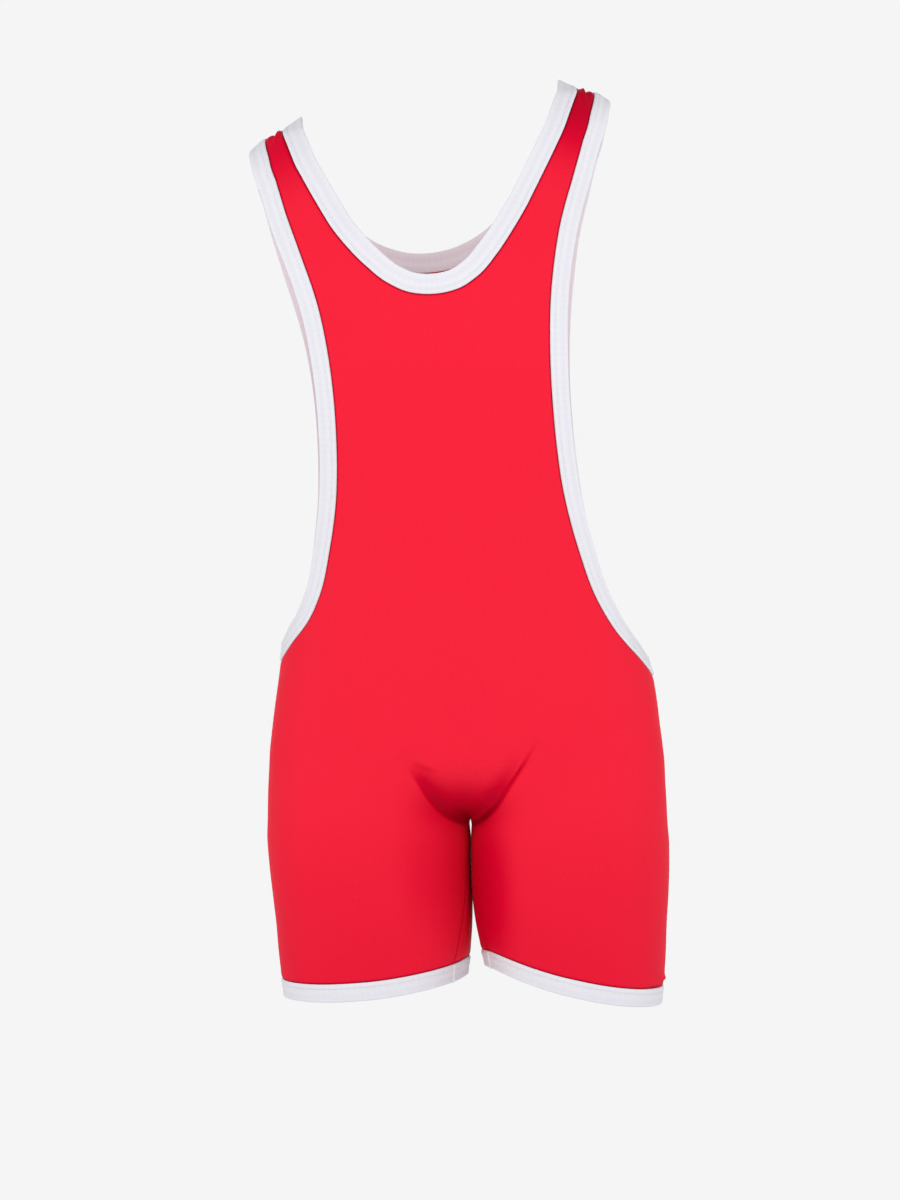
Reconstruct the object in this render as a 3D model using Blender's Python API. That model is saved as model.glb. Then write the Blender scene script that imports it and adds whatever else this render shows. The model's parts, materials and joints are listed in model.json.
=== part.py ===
"""Wrestling singlet: a one-piece garment in stretch knit with a bound neck, armholes and legs.

It is worn and hollow. Both panels and all five bindings are walls that lie on one smooth figure: a trunk
of oval sections that passes into two thighs of oval sections. The pieces are cut on a chart of that
figure. Across, the chart runs from the side line (0) to the centre line or the inseam (1). Along, it
runs down the side line, from the shoulder to the hem.

Units are metres, +Z is up, the wearer faces -Y, and the origin lies midway between the strap tops.
"""

import math
from collections import namedtuple
from functools import cache

import bmesh
import bpy
import numpy as np
from mathutils.geometry import delaunay_2d_cdt

FRONT, BACK = -1, 1

# Walls and spacing
KNIT = 0.0016  # wall of the panels, inwards from the figure
BINDING_PROUD = 0.0008  # how far a binding stands out from the knit
SEAM_GAP = 0.0003
MESH_STEP = 0.018
SEAM_STEP = 0.0115  # along the neck, armholes and hems
FORK_STEP = 0.010  # the finer step near the crotch
FORK_REACH = 0.080  # and how far up and down from the crotch it is used
NECK_WIDTH = 0.018
ARMHOLE_WIDTH = 0.0174
LEG_BAND_WIDTH = 0.016
BINDING_ROWS = 2

# The figure
Section = namedtuple("Section", "z half_width front back")
TRUNK = [
    Section(0.026, 0.092, 0.040, 0.042),
    Section(0.012, 0.1175, 0.048, 0.052),
    Section(0.003, 0.134, 0.053, 0.058),
    Section(-0.0025, 0.148, 0.057, 0.062),
    Section(-0.0128, 0.1625, 0.063, 0.069),
    Section(-0.030, 0.179, 0.072, 0.080),
    Section(-0.050, 0.184, 0.081, 0.091),
    Section(-0.080, 0.183, 0.092, 0.103),
    Section(-0.120, 0.178, 0.106, 0.113),
    Section(-0.170, 0.172, 0.116, 0.119),
    Section(-0.220, 0.167, 0.119, 0.118),
    Section(-0.280, 0.161, 0.115, 0.110),
    Section(-0.340, 0.155, 0.108, 0.098),
    Section(-0.400, 0.152, 0.102, 0.089),
    Section(-0.450, 0.156, 0.100, 0.085),
    Section(-0.493, 0.166, 0.0995, 0.090),
    Section(-0.540, 0.1728, 0.0982, 0.0995),
    Section(-0.585, 0.1778, 0.0955, 0.1050),
    Section(-0.625, 0.1796, 0.0930, 0.1060),
    Section(-0.662, 0.1790, 0.0915, 0.1045),
]
Thigh = namedtuple("Thigh", "z centre half_width front back")
THIGHS = [
    Thigh(-0.560, 0.0880, 0.0870, 0.0895, 0.0990),
    Thigh(-0.600, 0.0898, 0.0885, 0.0902, 0.1010),
    Thigh(-0.640, 0.0904, 0.0892, 0.0903, 0.1018),
    Thigh(-0.650, 0.0903, 0.0899, 0.0903, 0.1016),
    Thigh(-0.660, 0.0902, 0.0898, 0.0902, 0.1012),
    Thigh(-0.680, 0.0897, 0.0893, 0.0899, 0.1000),
    Thigh(-0.703, 0.0888, 0.0884, 0.0892, 0.0976),
    Thigh(-0.728, 0.0886, 0.0864, 0.0880, 0.0942),
    Thigh(-0.758, 0.0899, 0.0833, 0.0857, 0.0900),
    Thigh(-0.788, 0.0908, 0.0791, 0.0830, 0.0858),
    Thigh(-0.805, 0.0910, 0.0766, 0.0815, 0.0835),
]
TRUNK_POWER = 2.3  # 2 is an ellipse, and more is squarer
THIGH_POWER = 2.1
TRUNK_REACH = 0.120
THIGH_REACH = 0.088
FORK_TOP = -0.572  # where the one section starts to pass into two
FORK_BOTTOM = -0.6385
SADDLE = 0.028  # rounding of the fold where the thighs join

# Rows of the chart: the height of each at the side line and at its inner end
Row = namedtuple("Row", "outer inner")
ROWS = [
    Row(0.026, 0.026),
    Row(-0.500, -0.500),
    Row(-0.545, -0.545),
    Row(-0.590, -0.585),
    Row(-0.635, -0.616),
    Row(-0.680, -0.6305),
    Row(-0.730, -0.693),
    Row(-0.7797, -0.755),
]
TRUNK_ROW = -0.545  # the last row that is all trunk
CROTCH_ROW = -0.680  # the row that ends at the crotch
HEM_ROW = -0.7797  # the row where the leg bands are sewn on
ROW_BEND = 2.2  # how late a row leaves the level of its outer end
INSEAM_FORWARD = math.radians(28)  # how far the inseam has turned forward at the hem
# The hem's bend, and how it nears the inseam, which it passes smoothly
Rise = namedtuple("Rise", "bend crest")
HEM_RISE = {FRONT: Rise(3.5, 2.75), BACK: Rise(2.0, 3.0)}

# Seams: half-widths of the cut at each height, front and back
Cut = namedtuple("Cut", "z front back")
SHOULDER_OUTER = -0.0017  # where the shoulder seam meets the armhole
SHOULDER_INNER = 0.0047  # and the neck
ARMHOLE = [
    Cut(-0.012, 0.1465, 0.1475),
    Cut(-0.028, 0.1424, 0.1440),
    Cut(-0.045, 0.1373, 0.1395),
    Cut(-0.083, 0.1260, 0.1303),
    Cut(-0.129, 0.1121, 0.1193),
    Cut(-0.174, 0.1021, 0.1104),
    Cut(-0.218, 0.0972, 0.1050),
    Cut(-0.262, 0.0956, 0.1030),
    Cut(-0.306, 0.0967, 0.1035),
    Cut(-0.349, 0.1008, 0.1070),
    Cut(-0.393, 0.1100, 0.1147),
    Cut(-0.437, 0.1238, 0.1264),
    Cut(-0.466, 0.1410, 0.1412),
    Cut(-0.482, 0.1550, 0.1550),
    Cut(-0.493, 0.1635, 0.1635),
]
ARMHOLE_BOTTOM = -0.4985
Hollow = namedtuple("Hollow", "z half_width")
NECK_FRONT = [
    Hollow(-0.010, 0.1285),
    Hollow(-0.028, 0.1219),
    Hollow(-0.047, 0.1136),
    Hollow(-0.085, 0.0942),
    Hollow(-0.103, 0.0843),
    Hollow(-0.121, 0.0722),
    Hollow(-0.140, 0.0572),
    Hollow(-0.158, 0.0385),
    Hollow(-0.168, 0.0190),
    Hollow(-0.1705, 0.0),
]
NECK_BACK = [
    Hollow(-0.010, 0.1286),
    Hollow(-0.025, 0.1228),
    Hollow(-0.040, 0.1160),
    Hollow(-0.070, 0.1010),
    Hollow(-0.094, 0.0840),
    Hollow(-0.113, 0.0630),
    Hollow(-0.125, 0.0400),
    Hollow(-0.131, 0.0190),
    Hollow(-0.1325, 0.0),
]

# The largest folds: soft troughs from near the crotch up and out, by their ends in front or back view
Fold = namedtuple("Fold", "face near_x near_z far_x far_z half_width depth")
FOLDS = [
    Fold(FRONT, -0.015, -0.622, -0.058, -0.574, 0.010, 0.0030),
    Fold(FRONT, 0.017, -0.618, 0.066, -0.560, 0.009, 0.0026),
    Fold(BACK, -0.017, -0.622, -0.078, -0.602, 0.011, 0.0024),
    Fold(BACK, 0.016, -0.622, 0.070, -0.596, 0.010, 0.0022),
]

# The stance: a lean to one side, a slope across, a turn of the thighs, how far the inner side of the leg
# on +X is drawn up and that of the other is let down, and how much narrower the side of +X looks
Stance = namedtuple("Stance", "z lean slope turn lift narrowing")
STANCE = [
    Stance(0.030, 0.0010, 0.143, 0.00, 0.0000, 0.000),
    Stance(-0.040, 0.0008, 0.135, 0.00, 0.0000, 0.000),
    Stance(-0.120, 0.0010, 0.100, 0.00, 0.0000, 0.000),
    Stance(-0.167, 0.0050, 0.080, 0.00, 0.0000, 0.000),
    Stance(-0.257, 0.0125, 0.036, 0.00, 0.0000, 0.000),
    Stance(-0.350, 0.0195, 0.000, 0.00, 0.0000, 0.000),
    Stance(-0.437, 0.0272, -0.028, 0.00, 0.0000, 0.000),
    Stance(-0.473, 0.0315, -0.040, 0.00, 0.0000, 0.000),
    Stance(-0.493, 0.0337, -0.040, 0.00, 0.0000, 0.000),
    Stance(-0.550, 0.0350, -0.030, 0.01, 0.0000, 0.004),
    Stance(-0.640, 0.0375, -0.015, 0.08, 0.0000, 0.012),
    Stance(-0.703, 0.0392, -0.012, 0.10, 0.0030, 0.008),
    Stance(-0.758, 0.0424, -0.028, 0.10, 0.0080, 0.018),
    Stance(-0.805, 0.0440, -0.030, 0.10, 0.0083, 0.022),
]
LIFT_START = 0.012  # from the centre plane, the distance over which the lift sets in
LIFT_REACH = 0.190  # and that where it has faded out

# Finishes
RED, RED_ROUGHNESS = (0.89, 0.016, 0.045, 1.0), 0.45
WHITE, WHITE_ROUGHNESS = (0.84, 0.82, 0.85, 1.0), 0.6
SHARP_ANGLE = math.radians(50)

# How finely the figure, the chart and the seams are worked out
PROBE = 2e-5  # the distance to either side over which a slope is measured
SETTLE_ROUNDS = 12
MOST_MOVE = 0.008  # of a point in one of those rounds
SIDE_SAMPLES = 1200
FLAT_ROWS, FLAT_COLUMNS = 60, 31
CURVE_STEPS = 24  # from each place that a seam is drawn through to the next
SEAM_SAMPLES = 60  # of a seam that is straight on the chart
CHART_WIDTH = 0.18  # about the length of the cloth from the side line to the centre line
CLEARANCE = 0.62  # from a panel's edge to the nearest point inside it, in steps of the mesh
MITRE_LIMIT = 0.4
FOLD_BLUNTNESS = 0.6  # below 1, a fold keeps more of its depth towards its ends
RIM_ORDER = (0.3, 0.1, 1)  # the direction in which the two ends of a rim's face are compared
NEAR_ZERO = 1e-9
MIRROR = np.array([-1.0, 1.0, 1.0])


def spline(knots, values, at):
    """A smooth curve through the values: cubic between knots, with slopes taken from the neighbours."""
    knots, values = np.asarray(knots, float), np.asarray(values, float)
    at = np.clip(at, knots[0], knots[-1])
    slopes = np.gradient(values, knots, axis=0)
    i = np.clip(np.searchsorted(knots, at) - 1, 0, len(knots) - 2)
    span = knots[i + 1] - knots[i]
    t = (at - knots[i]) / span
    if values.ndim > 1:
        t, span = t[..., None], span[..., None]
    start = (1 + 2 * t) * (1 - t) ** 2 * values[i] + t * (1 - t) ** 2 * span * slopes[i]
    end = t**2 * (3 - 2 * t) * values[i + 1] + t**2 * (t - 1) * span * slopes[i + 1]
    return start + end


def column(rows, name, z):
    """One column of a table whose heights run downwards, at the heights z."""
    return spline([-row[0] for row in rows], [getattr(row, name) for row in rows], -np.asarray(z, float))


def ramp(z, top, bottom):
    """0 above top and 1 below bottom, with a smooth passage."""
    t = np.clip((top - z) / (top - bottom), 0, 1)
    return t * t * (3 - 2 * t)


def power_of(value, power):
    """The power of a number's size, with its sign kept."""
    return np.sign(value) * np.abs(value) ** power


def oval(x, y, half_width, front, back, power, reach):
    """About the distance to an oval: below 0 inside, 0 on it and above 0 outside."""
    depth = np.where(y < 0, front, back)
    across = (np.abs(x / half_width) ** power + np.abs(y / depth) ** power) ** (2 / power)
    return (across - 1) * reach / 2


def figure(points):
    """0 on the outer face of the knit, below 0 inside the figure and above 0 outside."""
    x, y, z = np.asarray(points).T
    fork = ramp(z, FORK_TOP, FORK_BOTTOM)
    trunk = oval(
        x,
        y,
        column(TRUNK, "half_width", z),
        column(TRUNK, "front", z),
        column(TRUNK, "back", z),
        TRUNK_POWER,
        TRUNK_REACH,
    )
    away = np.sqrt(x**2 + (SADDLE * (1 - fork)) ** 2)
    thigh = oval(
        away - column(THIGHS, "centre", z),
        y,
        column(THIGHS, "half_width", z),
        column(THIGHS, "front", z),
        column(THIGHS, "back", z),
        THIGH_POWER,
        THIGH_REACH,
    )
    return (1 - fork) * trunk + fork * thigh


def slope_of(points):
    """How the figure's measure changes along X, Y and Z."""
    sides = np.eye(3) * PROBE
    return np.stack([figure(points + side) - figure(points - side) for side in sides], 1) / (2 * PROBE)


def normals(points):
    """The unit directions straight out of the figure."""
    slope = slope_of(points)
    return slope / np.linalg.norm(slope, axis=1)[:, None]


def settle(points):
    """The points moved onto the figure, straight out or in. A point on the centre plane stays on it."""
    points = np.array(points, float)
    centred = points[:, 0] == 0
    for _ in range(SETTLE_ROUNDS):
        slope = slope_of(points)
        move = -figure(points)[:, None] * slope / (slope**2).sum(1)[:, None]
        length = np.linalg.norm(move, axis=1)[:, None]
        points += move * np.minimum(1, MOST_MOVE / np.maximum(length, NEAR_ZERO))
        points[centred, 0] = 0
    return points


def on_centre(across, outer):
    """Which places of the chart lie on the centre line, which ends at the crotch."""
    return (across >= 1) & (outer >= CROTCH_ROW - NEAR_ZERO)


def on_chart(across, outer, face):
    """Points of the figure at places of the chart.

    across is 0 at the side line and 1 at the centre line or inseam, outer is the row's height at the
    side line, and face is FRONT or BACK.
    """
    across, outer = np.broadcast_arrays(np.asarray(across, float), np.asarray(outer, float))
    side = "front" if face == FRONT else "back"
    low = np.clip((CROTCH_ROW - outer) / (CROTCH_ROW - HEM_ROW), 0, 1)
    bend, crest = HEM_RISE[face]
    rise = (1 - low) * across**ROW_BEND + low * across**bend * (1 + crest * (1 - across))
    z = outer + (column(ROWS, "inner", outer) - outer) * rise
    angle = across * math.pi / 2
    trunk_x = column(TRUNK, "half_width", z) * np.cos(angle) ** (2 / TRUNK_POWER)
    trunk_y = column(TRUNK, side, z) * np.sin(angle) ** (2 / TRUNK_POWER)
    angle = across * (math.pi + face * INSEAM_FORWARD * low)
    thigh_x = column(THIGHS, "centre", z) + column(THIGHS, "half_width", z) * power_of(
        np.cos(angle), 2 / THIGH_POWER
    )
    beyond = "back" if face == FRONT else "front"
    depth = np.where(angle <= math.pi, column(THIGHS, side, z), column(THIGHS, beyond, z))
    thigh_y = depth * power_of(np.sin(angle), 2 / THIGH_POWER)
    leg = ramp(outer, TRUNK_ROW, CROTCH_ROW)
    x = (1 - leg) * trunk_x + leg * thigh_x
    y = (1 - leg) * trunk_y + leg * thigh_y
    x = np.where(on_centre(across, outer), 0, x)
    return settle(np.stack([x, face * y, z], -1).reshape(-1, 3))


def across_at(half_width, z):
    """The chart's place across for a half-width of the trunk at a height."""
    share = np.minimum(1, half_width / column(TRUNK, "half_width", z))
    return np.arccos(share ** (TRUNK_POWER / 2)) / (math.pi / 2)


SIDE_HEIGHTS = np.linspace(TRUNK[0].z, HEM_ROW, SIDE_SAMPLES)
SIDE_LINE = on_chart(0, SIDE_HEIGHTS, FRONT)
SIDE_LENGTH = np.concatenate([[0], np.cumsum(np.linalg.norm(np.diff(SIDE_LINE, axis=0), axis=1))])


def down_at(outer):
    """Length down the side line from its top to a row."""
    return np.interp(-np.asarray(outer, float), -SIDE_HEIGHTS, SIDE_LENGTH)


def row_at(down):
    """The row at a length down the side line."""
    return np.interp(down, SIDE_LENGTH, SIDE_HEIGHTS)


def flat_chart(face):
    """Two functions: from places of the chart, (across, down), to a flat lay of the cloth, and back."""
    downs = np.linspace(0, SIDE_LENGTH[-1], FLAT_ROWS)
    across = np.linspace(0, 1, FLAT_COLUMNS)
    rings = np.array([on_chart(across, row_at(down), face) for down in downs])
    steps = np.linalg.norm(np.diff(rings, axis=1), axis=2)
    lengths = np.concatenate([np.zeros((len(downs), 1)), np.cumsum(steps, 1)], 1)

    def ring_at(down):
        return np.array([np.interp(down, downs, values) for values in lengths.T])

    def lay(places):
        return np.array([(np.interp(place[0], across, ring_at(place[1])), place[1]) for place in places])

    def lift(spots):
        return np.array([(np.interp(spot[0], ring_at(spot[1]), across), spot[1]) for spot in spots])

    return lay, lift


def fine_curve(places):
    """A smooth curve through places of the chart, (across, down), square to the lines that it ends on."""
    places = np.asarray(places, float)
    lengths = np.linalg.norm(np.diff(places, axis=0) * (CHART_WIDTH, 1), axis=1)
    knots = np.concatenate([[0], np.cumsum(lengths)])
    before, after = places[1] * (-1, 1), places[-2] * (-1, 1) + (2 * places[-1][0], 0)
    more = np.concatenate([[before], places, [after]])
    more_knots = np.concatenate([[-knots[1]], knots, [2 * knots[-1] - knots[-2]]])
    return spline(more_knots, more, np.linspace(0, knots[-1], CURVE_STEPS * len(places)))


def armhole_seam(face):
    """The armhole's seam from the shoulder down to the side, as places of the chart."""
    side = "front" if face == FRONT else "back"
    places = [(0, down_at(SHOULDER_OUTER))]
    places += [(across_at(getattr(cut, side), cut.z), down_at(cut.z)) for cut in ARMHOLE]
    return fine_curve([*places, (0, down_at(ARMHOLE_BOTTOM))])


def neck_seam(face):
    """The neck's seam from the shoulder down to the centre line, as places of the chart."""
    hollows = NECK_FRONT if face == FRONT else NECK_BACK
    places = [(0, down_at(SHOULDER_INNER))]
    places += [(across_at(hollow.half_width, hollow.z), down_at(hollow.z)) for hollow in hollows]
    return fine_curve(places)


def place_seam(places, face, step=MESH_STEP):
    """Places along a seam at even steps of the cloth."""
    points = on_chart(places[:, 0], row_at(places[:, 1]), face)
    lengths = np.concatenate([[0], np.cumsum(np.linalg.norm(np.diff(points, axis=0), axis=1))])
    count = max(1, round(lengths[-1] / step))
    at = np.linspace(0, lengths[-1], count + 1)
    found = np.stack([np.interp(at, lengths, values) for values in places.T], 1)
    found[0], found[-1] = places[0], places[-1]
    return found


def straight(start, end):
    """Places on a straight line of the chart."""
    return np.linspace(start, end, SEAM_SAMPLES)


@cache
def seams(face):
    """Each seam of a half panel as places of the chart, in order round it."""
    neck = place_seam(neck_seam(face), face, SEAM_STEP)
    armhole = place_seam(armhole_seam(face), face, SEAM_STEP)
    bottom, hem, crotch = down_at(ARMHOLE_BOTTOM), down_at(HEM_ROW), down_at(CROTCH_ROW)
    below, above = crotch + FORK_REACH / 2, crotch - FORK_REACH
    return {
        "neck": neck[::-1],
        "shoulder": np.array([neck[0], armhole[0]]),
        "armhole": armhole,
        "side": place_seam(straight((0, bottom), (0, hem)), face),
        "hem": place_seam(straight((0, hem), (1, hem)), face, SEAM_STEP),
        "inseam": place_seam(straight((1, hem), (1, below)), face),
        "fork": np.concatenate(
            [
                place_seam(straight((1, below), (1, crotch)), face, FORK_STEP)[:-1],
                place_seam(straight((1, crotch), (1, above)), face, FORK_STEP),
            ]
        ),
        "centre": place_seam(straight((1, above), (1, neck[-1][1])), face),
    }


def inside(points, outline, clearance):
    """Which points lie inside a closed outline and at least the clearance from it."""
    starts, ends = outline, np.roll(outline, -1, 0)
    x, y = points[:, None, 0], points[:, None, 1]
    spans = (starts[:, 1] > y) != (ends[:, 1] > y)
    rise = np.where(ends[:, 1] == starts[:, 1], 1, ends[:, 1] - starts[:, 1])
    crossing = starts[:, 0] + (y - starts[:, 1]) / rise * (ends[:, 0] - starts[:, 0])
    odd = (spans & (x < crossing)).sum(1) % 2 == 1
    edge = ends - starts
    along = ((points[:, None] - starts) * edge).sum(2) / np.maximum((edge**2).sum(1), NEAR_ZERO)
    nearest = starts + np.clip(along, 0, 1)[..., None] * edge
    return odd & (np.linalg.norm(points[:, None] - nearest, axis=2).min(1) > clearance)


def lattice(outline, step):
    """Points at even steps inside an outline, in staggered rows."""
    low, high = outline.min(0), outline.max(0)
    rise = step * math.sqrt(3) / 2
    points = [
        (low[0] + (i + 0.5 * (j % 2)) * step, low[1] + j * rise)
        for j in range(int((high[1] - low[1]) / rise) + 1)
        for i in range(int((high[0] - low[0]) / step) + 1)
    ]
    points = np.array(points)
    return points[inside(points, outline, CLEARANCE * step)]


def half_panel(face):
    """Points and triangles of one half of a panel, on the side of +X, and which lie on the centre line."""
    parts = seams(face)
    lay, lift = flat_chart(face)
    edge = np.concatenate([part[:-1] for part in parts.values()])
    outline = lay(edge)
    crotch = lay([(1, down_at(CROTCH_ROW))])[0]
    coarse, fine = lattice(outline, MESH_STEP), lattice(outline, FORK_STEP)
    inner = np.concatenate(
        [
            coarse[np.linalg.norm(coarse - crotch, axis=1) > FORK_REACH],
            fine[np.linalg.norm(fine - crotch, axis=1) < FORK_REACH - FORK_STEP],
        ]
    )
    spots = [tuple(spot) for spot in np.concatenate([outline, inner])]
    found = delaunay_2d_cdt(spots, [], [list(range(len(outline)))], 1, NEAR_ZERO)
    origins = np.array([origin[0] for origin in found[3]])
    places = np.concatenate([edge, lift(inner)])
    across, outer = places[:, 0], row_at(places[:, 1])
    return on_chart(across, outer, face), origins[np.array(found[2])], on_centre(across, outer)


def facing_out(points, faces):
    """The triangles of a sheet, which all wind one way, wound so that they face away from the figure."""
    corners = points[faces]
    flat = np.cross(corners[:, 1] - corners[:, 0], corners[:, 2] - corners[:, 0])
    return faces if (flat * normals(corners.mean(1))).sum() > 0 else faces[:, ::-1]


def mirrored(points, faces, centred):
    """The half and its mirror image as one sheet, joined along the centre line."""
    others = np.where(centred, np.arange(len(points)), len(points) + np.cumsum(~centred) - 1)
    both = np.concatenate([points, points[~centred] * MIRROR])
    return both, np.concatenate([faces, others[faces][:, ::-1]])


def edge_of(faces):
    """The directed edges round a sheet, with the cloth on the left of each."""
    pairs = np.concatenate([faces[:, [0, 1]], faces[:, [1, 2]], faces[:, [2, 0]]])
    known = {tuple(pair) for pair in pairs}
    return np.array([pair for pair in pairs if (pair[1], pair[0]) not in known])


def drawn_back(points, faces):
    """The points of a sheet, with its edge drawn back by half of the gap at a seam."""
    edge = edge_of(faces)
    out = normals(points)
    along = points[edge[:, 1]] - points[edge[:, 0]]
    inwards = np.cross(out[edge[:, 0]] + out[edge[:, 1]], along)
    inwards /= np.linalg.norm(inwards, axis=1)[:, None]
    first, second = np.zeros_like(points), np.zeros_like(points)
    first[edge[:, 0]], second[edge[:, 1]] = inwards, inwards
    together = np.maximum(1 + (first * second).sum(1), MITRE_LIMIT)[:, None]
    return points + SEAM_GAP / 2 * (first + second) / together


def fold_depths(points):
    """How far the folds draw each point into the figure."""
    depths = np.zeros(len(points))
    for fold in FOLDS:
        near, far = np.array([fold.near_x, fold.near_z]), np.array([fold.far_x, fold.far_z])
        view = points[:, [0, 2]] - near
        along = np.clip(view @ (far - near) / ((far - near) ** 2).sum(), 0, 1)
        aside = np.linalg.norm(view - along[:, None] * (far - near), axis=1)
        trough = np.exp(-((aside / fold.half_width) ** 2)) * np.sin(math.pi * along) ** FOLD_BLUNTNESS
        depths += np.where(points[:, 1] * fold.face > 0, fold.depth * trough, 0)
    return depths


def stance(points):
    """The points as the garment is worn."""
    x, y, z = points.T
    lean, slope, turn, lift, narrowing = (column(STANCE, name, z) for name in Stance._fields[1:])
    drawn_up = np.tanh(x / LIFT_START) * (1 - np.abs(x) / LIFT_REACH)
    return np.stack([x - narrowing * np.abs(x) + lean + turn * y, y, z + slope * x + lift * drawn_up], 1)


def rim(sheet, edge):
    """The triangles that join a sheet's edge to that of the inner face, whose points follow the sheet's.

    Where two pieces meet, both split their rims along the same diagonals, so that twisted rims stay apart.
    """
    count = len(sheet)
    first, second = edge.T
    falls = (sheet[edge] @ RIM_ORDER).argmax(1) == 0
    falling = [(second, first, first + count), (second, first + count, second + count)]
    rising = [(second, first, second + count), (first, first + count, second + count)]
    chosen = [np.where(falls, one, other).T for one, other in zip(falling, rising)]
    return np.concatenate(chosen)


def wall(name, points, faces, proud, colour):
    """One closed solid: the sheet's outer face, its inner face and a rim between them."""
    faces = facing_out(points, faces)
    out = normals(points)
    sheet = drawn_back(points, faces) - out * fold_depths(points)[:, None]
    corners = stance(np.concatenate([sheet + proud * out, sheet - KNIT * out]))
    triangles = np.concatenate([faces, faces[:, ::-1] + len(sheet), rim(sheet, edge_of(faces))])
    mesh = bpy.data.meshes.new(name)
    mesh.from_pydata(corners.tolist(), [], triangles.tolist())
    solid = bmesh.new()
    solid.from_mesh(mesh)
    loose = [vertex for vertex in solid.verts if not vertex.link_faces]
    bmesh.ops.delete(solid, geom=loose, context="VERTS")
    solid.to_mesh(mesh)
    solid.free()
    mesh.shade_smooth()
    mesh.set_sharp_from_angle(angle=SHARP_ANGLE)
    mesh.materials.append(colour)
    bpy.context.scene.collection.objects.link(bpy.data.objects.new(name, mesh))


def strip(seam, width):
    """A binding's sheet: rows of points from its closed seam across its width."""
    count = len(seam)
    steps = width * np.arange(1, BINDING_ROWS + 1) / BINDING_ROWS
    rows = [seam, *(settle(seam + off_panel(seam) * step) for step in steps)]
    faces = []
    for start in range(0, BINDING_ROWS * count, count):
        for i in range(count):
            a, b = start + i, start + (i + 1) % count
            faces += [(a, b, b + count), (a, b + count, a + count)]
    return np.concatenate(rows), np.array(faces)


def off_panel(seam):
    """At each point of a closed seam, the direction in the cloth that leads squarely off the panels."""
    along = np.roll(seam, -1, 0) - np.roll(seam, 1, 0)
    aside = np.cross(normals(seam), along)
    return aside / np.linalg.norm(aside, axis=1)[:, None]


def sewn_points(seam, face):
    """Points of the figure along a seam of a half panel."""
    places = seams(face)[seam]
    return on_chart(places[:, 0], row_at(places[:, 1]), face)


def side_ring(seam):
    """Points round an armhole or a hem on +X: along the front half's seam, then back along the other's."""
    return np.concatenate([sewn_points(seam, FRONT), sewn_points(seam, BACK)[-2:0:-1]])


def neck_ring():
    """Points round the neck: along the seams of the halves on +X, then along their mirror images."""
    half = np.concatenate([sewn_points("neck", FRONT), sewn_points("neck", BACK)[-2::-1]])
    return np.concatenate([half, half[-2:0:-1] * MIRROR])


def material(name, colour, roughness):
    """A plain material for one piece."""
    made = bpy.data.materials.new(name)
    made.use_nodes = True
    shader = made.node_tree.nodes["Principled BSDF"]
    shader.inputs["Base Color"].default_value = colour
    shader.inputs["Roughness"].default_value = roughness
    shader.inputs["Metallic"].default_value = 0
    return made


def make_panels():
    """The front and the back, each cut in one and shaped to the figure."""
    for name, face in (("front_panel", FRONT), ("back_panel", BACK)):
        points, faces = mirrored(*half_panel(face))
        wall(name, points, faces, 0, material(name, RED, RED_ROUGHNESS))


def make_bindings():
    """The rings of binding. Each follows the seam points of the panels that it is sewn to."""
    strips = {"neck_binding": strip(neck_ring(), NECK_WIDTH)}
    for kind, seam, width in (
        ("armhole_binding", "armhole", ARMHOLE_WIDTH),
        ("leg_band", "hem", LEG_BAND_WIDTH),
    ):
        points, faces = strip(side_ring(seam), width)
        strips[f"{kind}_left"] = points, faces
        strips[f"{kind}_right"] = points * MIRROR, faces
    for name, (points, faces) in strips.items():
        wall(name, points, faces, BINDING_PROUD, material(name, WHITE, WHITE_ROUGHNESS))


for thing in list(bpy.data.objects):
    bpy.data.objects.remove(thing)
make_panels()
make_bindings()
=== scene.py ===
"""Looks of a wrestling singlet: its knit, its bindings and their sewing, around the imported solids.

The garment is worn and hollow. Every piece lies on one smooth figure, the same as that of the solids: a
trunk of oval sections that passes into two thighs. The panels are cut on a chart of that figure. Across,
the chart runs from the side line (0) to the centre line or the inseam (1). Along, it runs down the side
line. Heights of creases, lips and seams are measured straight out of the figure.

Units are metres, +Z is up, the wearer faces -Y, and the origin lies midway between the strap tops.
"""

import json
import logging
import math
from dataclasses import dataclass, field
from enum import Enum
from functools import cache, cached_property
from typing import NamedTuple, Sequence

import bpy
import numpy as np
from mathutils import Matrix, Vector, noise
from mathutils.geometry import delaunay_2d_cdt

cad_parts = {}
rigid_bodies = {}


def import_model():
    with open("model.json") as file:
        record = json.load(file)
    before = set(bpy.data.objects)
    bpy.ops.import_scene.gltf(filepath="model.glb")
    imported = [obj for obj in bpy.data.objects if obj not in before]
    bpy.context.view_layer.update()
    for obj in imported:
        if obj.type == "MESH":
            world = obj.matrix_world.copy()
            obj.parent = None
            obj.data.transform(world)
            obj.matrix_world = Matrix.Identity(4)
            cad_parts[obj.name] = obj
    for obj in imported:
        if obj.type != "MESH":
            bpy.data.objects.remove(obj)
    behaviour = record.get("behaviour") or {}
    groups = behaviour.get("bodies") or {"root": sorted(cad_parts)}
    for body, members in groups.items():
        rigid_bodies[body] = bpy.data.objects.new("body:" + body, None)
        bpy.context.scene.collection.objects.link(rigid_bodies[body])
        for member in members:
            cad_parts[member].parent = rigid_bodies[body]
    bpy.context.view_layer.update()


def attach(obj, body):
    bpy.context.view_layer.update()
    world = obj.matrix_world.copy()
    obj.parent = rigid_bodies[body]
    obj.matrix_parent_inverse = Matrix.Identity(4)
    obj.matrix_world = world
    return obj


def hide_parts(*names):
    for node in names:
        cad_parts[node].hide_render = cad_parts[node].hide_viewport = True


Array = np.ndarray
Colour = tuple[float, float, float, float]
Node, Socket = bpy.types.Node, bpy.types.NodeSocket
Piece = bpy.types.Object

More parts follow.
